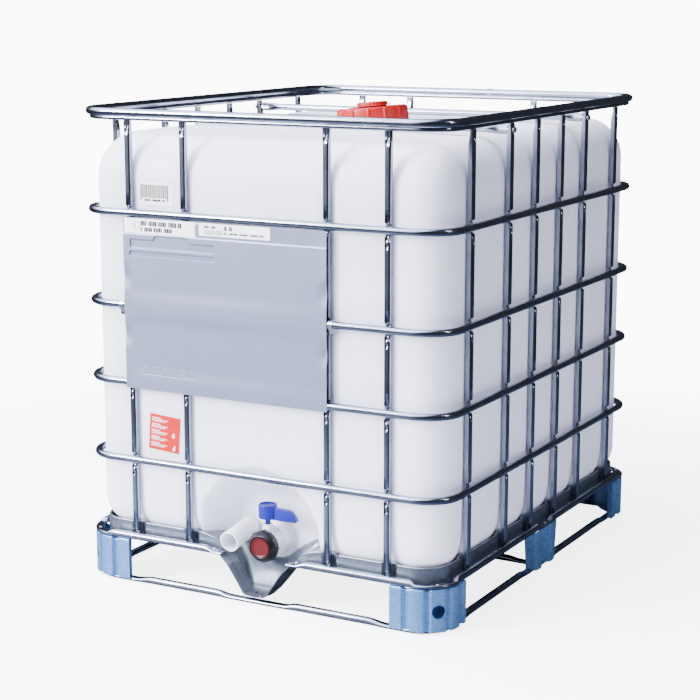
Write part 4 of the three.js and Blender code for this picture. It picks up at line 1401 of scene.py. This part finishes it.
plate = Batch()
fine_x = np.concatenate([np.arange(P_LOW.x, -0.09, 1.4 * MM), np.arange(-0.09, P_HIGH.x, 6 * MM),
                         [P_HIGH.x]])
fine_z = np.concatenate([np.arange(P_LOW.z, 0.525, 6 * MM), np.arange(0.525, 0.557, 1.4 * MM),
                         np.arange(0.557, 0.806, 6 * MM), np.arange(0.806, 0.870, 1.2 * MM),
                         [0.88, 0.892, P_HIGH.z]])
front, back = [], []
for z in fine_z:
    for x in fine_x:
        pressed = stamp_depth(x, z)
        front.append((x, PLATE_Y + pressed, z))
        back.append((x, PLATE_Y + pressed + 0.8 * MM, z))
plate.add_sheet(front, back, len(fine_z), len(fine_x))
plate.make("id_plate_stamping", PLATE_SHEET, node="id_plate", sharp_deg=30)


def film(batch, surface, x0, x1, z0, z1, lift, slot, steps=8):
    """A thin film that follows a front surface y = surface(x, z), standing proud by lift."""
    xs, zs = np.linspace(x0, x1, steps), np.linspace(z0, z1, steps)
    points = [(x, surface(x, z) - lift, z) for z in zs for x in xs]
    batch.add(points, grid_faces(steps, steps, close_columns=False), slot)


def plate_front(x, z):
    return PLATE_Y + 0.2 * MM


def print_line(batch, surface, x0, x1, z0, z1, lift, slot, seed=0):
    """A line of small blocks that stands for a line of printing."""
    x, k = x0, seed
    while x < x1 - 3 * MM:
        width = (3.4, 4.6, 2.6, 4.0, 5.2)[k % 5] * MM
        if k % 6 != 4:
            film(batch, surface, x, min(x + width, x1), z0, z1, lift, slot, 2)
        x += width + 0.7 * MM
        k += 1


labels = Batch()
film(labels, plate_front, -0.350, -0.143, 0.869, 0.9035, 0.25 * MM, 0)
film(labels, plate_front, -0.139, 0.054, 0.874, 0.9035, 0.25 * MM, 0)
film(labels, plate_front, -0.150, -0.141, 0.870, 0.899, 0.27 * MM, 2)
print_line(labels, plate_front, -0.303, -0.185, 0.8870, 0.8985, 0.35 * MM, 1)
print_line(labels, plate_front, -0.303, -0.209, 0.8735, 0.8835, 0.35 * MM, 1, 3)
print_line(labels, plate_front, -0.124, -0.092, 0.892, 0.898, 0.35 * MM, 1, 1)
print_line(labels, plate_front, -0.070, -0.048, 0.889, 0.899, 0.35 * MM, 1, 2)
print_line(labels, plate_front, -0.070, 0.036, 0.880, 0.8845, 0.35 * MM, 1, 2)
for k in range(17):
    film(labels, plate_front, -0.125 + 3 * MM * k, -0.1232 + 3 * MM * k, 0.877, 0.8885, 0.35 * MM, 2, 2)
spin = [(math.cos(a), math.sin(a)) for a in np.linspace(0, 2 * math.pi, 40, endpoint=False)]
ring_points = [(-0.317 + r * c, PLATE_Y - 0.35 * MM, 0.886 + r * s)
               for r in (0.0095, 0.0104) for c, s in spin]
labels.add(ring_points, grid_faces(2, len(spin)), 2)
print_line(labels, plate_front, -0.320, -0.314, 0.881, 0.891, 0.35 * MM, 2)
labels.make("id_plate_labels", [PAPER, BLACK_INK, GREY_INK], slot="white_plastic", sharp_deg=60)

for node in ("plate_clip_left", "plate_clip_right"):
    low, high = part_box(node)
    at = Vector(((low.x + high.x) / 2, -RING_HALF_Y, RING_Z[2]))
    angles = np.linspace(math.pi * 0.1, math.pi * 1.6, 24)[:16]
    outer = [(11.0 * math.cos(a), 11.0 * math.sin(a)) for a in angles] + [(-4.0, -14.0), (-3.4, -24.0)]
    inner = [(10.0 * math.cos(a), 10.0 * math.sin(a)) for a in angles] + [(-3.0, -14.0), (-2.4, -24.0)]
    outline = outer + inner[::-1]
    rows = [(x, at.y + a * MM, at.z + b * MM) for x in np.linspace(low.x, high.x, 4) for a, b in outline]
    faces = grid_faces(4, len(outline)) + end_caps(len(outline), len(rows))
    piece(node + "_band", rows, faces, BOLT_STEEL, node=node)
print("identification plate")

# %% [markdown]
# ## Stickers on the bottle
# Two stickers are pressed onto the bottle between the uprights, so they follow its surface exactly.

# %% Stickers
def bottle_front(x, z):
    return -(B_HALF_Y + BULGE - flute_depth(x, FRONT_X, z))


stickers = Batch()
STICKER_MIDDLE, STICKER_HALF, STICKER_TILT = (-0.262, 0.383), 0.044, math.radians(-4)


def tilted_film(u0, u1, w0, w1, lift, slot, steps=2):
    """A film on the tilted sticker; u runs along it and w up it, both from its middle."""
    points = []
    for w in np.linspace(w0, w1, steps):
        for u in np.linspace(u0, u1, steps):
            x = STICKER_MIDDLE[0] + u * math.cos(STICKER_TILT) - w * math.sin(STICKER_TILT)
            z = STICKER_MIDDLE[1] + u * math.sin(STICKER_TILT) + w * math.cos(STICKER_TILT)
            points.append((x, bottle_front(x, z) - lift, z))
    stickers.add(points, grid_faces(steps, steps, close_columns=False), slot)


tilted_film(-STICKER_HALF, STICKER_HALF, -STICKER_HALF, STICKER_HALF, 0.5 * MM, 0, 16)
for group in range(5):
    for line, length in enumerate((0.50, 0.92, 0.78)):
        w = (36 - 15.4 * group - 4.0 * line) * MM
        tilted_film(-38 * MM, (-38 + 50 * length) * MM, w - 1.5 * MM, w, 0.8 * MM, 1, 4)
for k in range(9):
    wide = (9 - k) * 0.9 * MM
    left, low = (24 + 0.8 * k) * MM, (-38 + 1.5 * k) * MM
    tilted_film(left, left + wide, low, low + 1.6 * MM, 0.8 * MM, 1)
for k in range(6):
    wide = (5.5, 8.0, 8.5, 8.0, 6.0, 4.0)[k] * MM
    low = (-8 + 2.2 * k) * MM
    tilted_film(26 * MM - wide / 2, 26 * MM + wide / 2, low, low + 1.4 * MM, 0.8 * MM, 1)
film(stickers, bottle_front, -0.324, -0.224, 0.934, 0.988, 0.5 * MM, 2, 14)
x = -0.318
for k in range(27):
    width = (1.9, 1.1, 2.6, 1.3)[k * 7 % 4] * MM
    low = 0.944 if k in (0, 1, 25, 26) else 0.951
    film(stickers, bottle_front, x, x + width, low, 0.982, 0.8 * MM, 3, 2)
    x += width + 1.25 * MM
print_line(stickers, bottle_front, -0.306, -0.246, 0.943, 0.948, 0.8 * MM, 3)
stickers.make("bottle_stickers", [RED_FILM, WHITE_INK, PAPER, BLACK_INK], slot="white_plastic", sharp_deg=60)
print("two stickers")

# %% [markdown]
# ## Filler lid and vent bung
# The lid is moulded with a deep skirt and thirteen grip ribs. Its top has a raised rim and a shallow well
# round the bung. The bung is a smaller screw with a thin tabbed flange and a cross of grip walls.

# %% Lid, bung and their gaskets
LID_RIBS = 13
LID_RIM_MM = 89.0


def lid_rib(a, k, z):
    if k < 5 or k > 15:
        return 0.0
    step = 2 * math.pi / LID_RIBS
    off = abs((a % step) - step / 2) * LID_RIM_MM
    return 3.4 * float(1 - smooth_step(off, 1.6, 3.6)) * float(1 - smooth_step(z, 35.0, 39.5))


lid_pairs = [(28.3, 37.2), (84.6, 37.2), (85.2, 36.6), (85.2, 0.6), (85.6, 0.1), (89.6, 0.0),
             (90.3, 0.6), (90.3, 3.4), (89.0, 4.4), (88.9, 8), (88.7, 14), (88.5, 20), (88.3, 26),
             (88.0, 31), (87.6, 35), (86.6, 37.6), (84.6, 39.4), (82.0, 40.0), (78.0, 40.0),
             (76.8, 39.3), (76.2, 38.6), (60.0, 38.6), (57.6, 39.0), (56.8, 40.0), (29.4, 40.0),
             (28.3, 39.4), (28.3, 37.2)]
turned_piece("filler_lid_moulding", lid_pairs, NECK_FRAME, LID_RED_PLASTIC, 260, lid_rib,
             node="filler_lid", body="lid", sharp_deg=40)


def gasket(node, body, inner, outer, low, high):
    """A flat rubber ring with rounded edges, on the neck's axis."""
    e = min(0.8, (high - low) / 3)
    pairs = [(inner, low + e), (inner + e, low), (outer - e, low), (outer, low + e), (outer, high - e),
             (outer - e, high), (inner + e, high), (inner, high - e), (inner, low + e)]
    turned_piece(node + "_ring", pairs, NECK_FRAME, SEAL_RUBBER, 72, node=node, body=body, sharp_deg=60)


gasket("filler_gasket", "lid_seal", 75.5, 84.0, 34.3, 36.7)
gasket("bung_gasket", "bung_seal", 28.7, 36.0, 40.3, 42.0)


def bung_edge(a, k, z):
    tab = 0.5 + 0.5 * math.cos(8 * a)
    if k in (5, 6, 7):
        return -4.2 * float(1 - smooth_step(tab, 0.35, 0.6))
    if 8 <= k <= 12:
        return 0.6 * math.cos(24 * a)
    return 0.0


bung_pairs = [(0.01, 31.2), (24.0, 31.2), (27.2, 32.4), (27.2, 42.0), (30.0, 42.4), (49.4, 42.3),
              (50.0, 43.2), (49.4, 44.1), (39.2, 44.4), (38.3, 45.2), (38.1, 48.6), (37.6, 51.2),
              (36.2, 52.6), (33.8, 52.8), (32.2, 52.0), (31.6, 49.6), (0.01, 49.6)]
bung = Batch()
bung.add_turned(bung_pairs, NECK_FRAME, 192, bung_edge)
for quarter in range(2):
    wall = [(-31.5, -1.6), (31.5, -1.6), (31.5, 1.6), (-31.5, 1.6)]
    points = [(x * MM, y * MM, z * MM) for z in (49.0, 52.4) for x, y in wall]
    bung.add(moved(points, NECK_FRAME @ Matrix.Rotation(quarter * math.pi / 2, 4, "Z")), BOX_FACES)
bung.make("vent_bung_moulding", LID_RED_PLASTIC, node="vent_bung", body="bung", sharp_deg=40)
print("lid and bung")

# %% [markdown]
# ## Outlet valve
# The butterfly valve is a white moulding: a short barrel, a turret for the stem and a threaded union nut
# towards the bottle. The lever is one blue moulding: a hub with a shallow cup on top and a tapered arm.

# %% Valve body, nut, stem, disc and lever
STEM_Y = JOINT["valve_turn"]["pos_m"][1]
STEM_FRAME = Matrix.Translation((0, STEM_Y, 0))
body = Batch()
body_pairs = [(25.2, 507.4), (33.2, 507.4), (34, 508.2), (34, 512.4), (33, 513.4), (29.8, 515.2),
              (29.0, 518), (29.0, 541), (28.4, 542), (28.4, 544), (29.0, 546), (28.2, 548), (29.0, 551),
              (28.2, 554), (29.0, 557), (28.2, 560), (28.8, 563), (28.4, 565.4), (27.4, 566),
              (25.6, 566), (25.2, 565.4), (25.2, 507.4)]
body.add_turned(body_pairs, OUTLET_FRAME, 64)
turret_pairs = [(13.6, 157), (13.4, 162), (12.5, 166), (12.5, 179), (12.2, 182.6), (11.4, 184),
                (8.2, 184), (7.5, 183.2), (7.5, 160)]
body.add_turned(turret_pairs, STEM_FRAME, 40)
for k in range(4):
    a = k * math.pi / 2 + math.pi / 4
    web = [(12.0, -1.2), (18.5, -1.2), (18.5, 1.2), (12.0, 1.2)]
    points = [(x * MM, y * MM, 0.155) for x, y in web] + [(min(x, 13.0) * MM, y * MM, 0.176) for x, y in web]
    body.add(moved(points, STEM_FRAME @ Matrix.Rotation(a, 4, "Z")), BOX_FACES)
body.make("valve_body_moulding", VALVE_PLASTIC, node="valve_body", sharp_deg=40)


def nut_grip(a, k, z):
    return -3.5 + 0.6 * float(smooth_step(math.cos(16 * a), 0.1, 0.7)) if 2 <= k <= 8 else 0.0


nut_pairs = [(31.4, 486.3), (38.6, 486.1), (40.2, 487.2), (40.4, 489), (40.4, 493), (40.4, 497),
             (40.4, 501), (40.2, 504.6), (39.4, 506.2), (37.6, 506.8), (31.8, 506.8), (31.4, 506.2),
             (31.4, 486.3)]
turned_piece("valve_union_nut_moulding", nut_pairs, OUTLET_FRAME, VALVE_PLASTIC, 192, nut_grip,
             node="valve_union_nut")

stem_pairs = [(0.01, 158.7), (6.3, 158.7), (6.9, 159.4), (6.9, 184), (6.6, 185), (6.6, 196), (6.9, 197),
              (6.9, 198), (0.01, 198)]
turned_piece("valve_stem_turned", stem_pairs, STEM_FRAME, BLUE_PLASTIC, 32, node="valve_stem",
             body="valve_lever")

disc_y = -STEM_Y / MM
disc = Batch()
disc_pairs = [(0.01, -2), (22.5, -2), (24.3, -0.8), (24.3, 0.8), (22.5, 2), (0.01, 2)]
disc.add_turned([(r, disc_y + y) for r, y in disc_pairs], OUTLET_FRAME, 56)
boss_pairs = [(0.01, -23.4), (5.2, -23.2), (5.5, -22), (5.5, 22), (5.2, 23.2), (0.01, 23.4)]
disc.add_turned([(r, OUTLET_Z / MM + z) for r, z in boss_pairs], STEM_FRAME, 28)
disc.make("valve_disc_moulding", VALVE_PLASTIC, node="valve_disc", body="valve_lever")


def prism(outline_xz, half_y):
    """A plate standing along X: outline in X and Z, half thickness in Y, all in mm."""
    count = len(outline_xz)
    points = [(x * MM, y * MM, z * MM) for y in (-half_y, half_y) for x, z in outline_xz]
    faces = [tuple(range(count)), tuple(range(count, 2 * count))[::-1]]
    faces += [(i, count + i, count + (i + 1) % count, (i + 1) % count) for i in range(count)]
    return points, faces


LEVER_HALF_MM = 6.5
lever_outline = [(8, 197.0), (40, 196.2), (79.6, 197.4), (81, 199.0), (80.6, 208.0), (66, 221.6),
                 (60, 223.6), (20, 226.4), (8, 226.6)]
points, faces = prism(lever_outline, LEVER_HALF_MM)
arm = piece("valve_lever_arm", moved(points, STEM_FRAME), faces, BLUE_PLASTIC, body="valve_lever",
            slot="blue_plastic")
bevel(arm, 1.6, 3)
hub_pairs = [(7.2, 198.6), (20.6, 198.6), (21.8, 199.6), (22.0, 201), (22.6, 229.6), (22.2, 231.6),
             (21.0, 232.9), (19.4, 233), (18.2, 232.2), (17.6, 229.6), (0.01, 229.2)]
turned_piece("valve_lever_hub", hub_pairs, STEM_FRAME, BLUE_PLASTIC, 64, node="valve_handle",
             body="valve_lever", sharp_deg=40)
screw_at = Matrix.Translation((12 * MM, STEM_Y - LEVER_HALF_MM * MM, 0.221))
turned_piece("valve_lever_screw", [(0.01, 0.6), (1.6, 0.6), (2.2, 0.0), (2.2, -1.0)],
             screw_at @ Matrix.Rotation(math.pi / 2, 4, "X"), BLACK_PLASTIC, 16, body="valve_lever",
             slot="black_plastic")
print("valve and lever")

# %% [markdown]
# ## Outlet cap and loose spout
# The black cap ring has eight lugs and fine grip ribs between them, and clamps a dark red dished disc over
# the outlet. The spout beside the valve is a plain tube with rounded lips.

# %% Cap ring, disc and spout
def cap_grip(a, k, z):
    if not 3 <= k <= 12:
        return 0.0
    fade = float(1 - smooth_step(z, 560, 567))
    lug = float(smooth_step(math.cos(8 * a), 0.965, 0.99)) * float(1 - smooth_step(z, 556, 559))
    rib = float(smooth_step(math.cos(48 * a), -0.2, 0.5)) * fade
    return 1.8 * fade + 2.0 * lug + 0.5 * rib


cap_pairs = [(29.8, 568.0), (29.8, 545.3), (30.4, 545.0), (35.6, 545.0), (36.3, 545.8), (36.3, 549),
             (36.2, 552), (35.9, 555.4), (35.7, 557), (35.4, 558.4), (34.0, 561.2), (32.4, 564.6),
             (30.9, 567.6), (29.6, 569.4), (28.4, 570.0), (25.4, 570.0), (24.7, 569.4), (24.7, 568.3),
             (29.8, 568.0)]
points, faces = turned(cap_pairs, 384, cap_grip)
faces = [tuple(reversed(face)) for face in faces]
piece("outlet_cap_ring_moulding", moved(points, OUTLET_FRAME), faces, BLACK_PLASTIC, node="outlet_cap_ring",
      body="cap_ring", sharp_deg=45)
seal_pairs = [(0.01, 566.3), (28.6, 566.3), (29.0, 566.9), (28.6, 567.8), (24.4, 568.0), (24.2, 569.2),
              (23.8, 570.3), (22.6, 570.5), (21.4, 570.1), (20.2, 568.9), (18.0, 568.5), (6.0, 568.4),
              (3.0, 568.6), (0.01, 568.8)]
turned_piece("outlet_cap_disc_moulding", seal_pairs, OUTLET_FRAME, CAP_RED_PLASTIC, 96,
             node="outlet_cap_disc", body="cap_seal", sharp_deg=50)

SPOUT_OUT = Vector(JOINT["spout_out"]["axis"]).normalized()
SPOUT_MOUTH = Vector((centre("spout").x, -0.585, 0.141))
spin = Vector((0, 0, 1)).rotation_difference(-SPOUT_OUT).to_matrix().to_4x4()
SPOUT_FRAME = Matrix.Translation(SPOUT_MOUTH) @ spin
spout_pairs = [(21.6, 1.0), (22.4, 0.2), (24.2, 0.0), (25.0, 0.8), (25.0, 3.0), (24.7, 6.0), (24.5, 40),
               (24.6, 92), (24.9, 96), (24.9, 99.2), (24.2, 100), (22.0, 100), (21.5, 99.2), (21.5, 30),
               (21.6, 1.0)]
turned_piece("spout_moulding", spout_pairs, SPOUT_FRAME, SPOUT_PLASTIC, 72, node="spout",
             body="loose_spout", sharp_deg=45)
print("cap and spout")
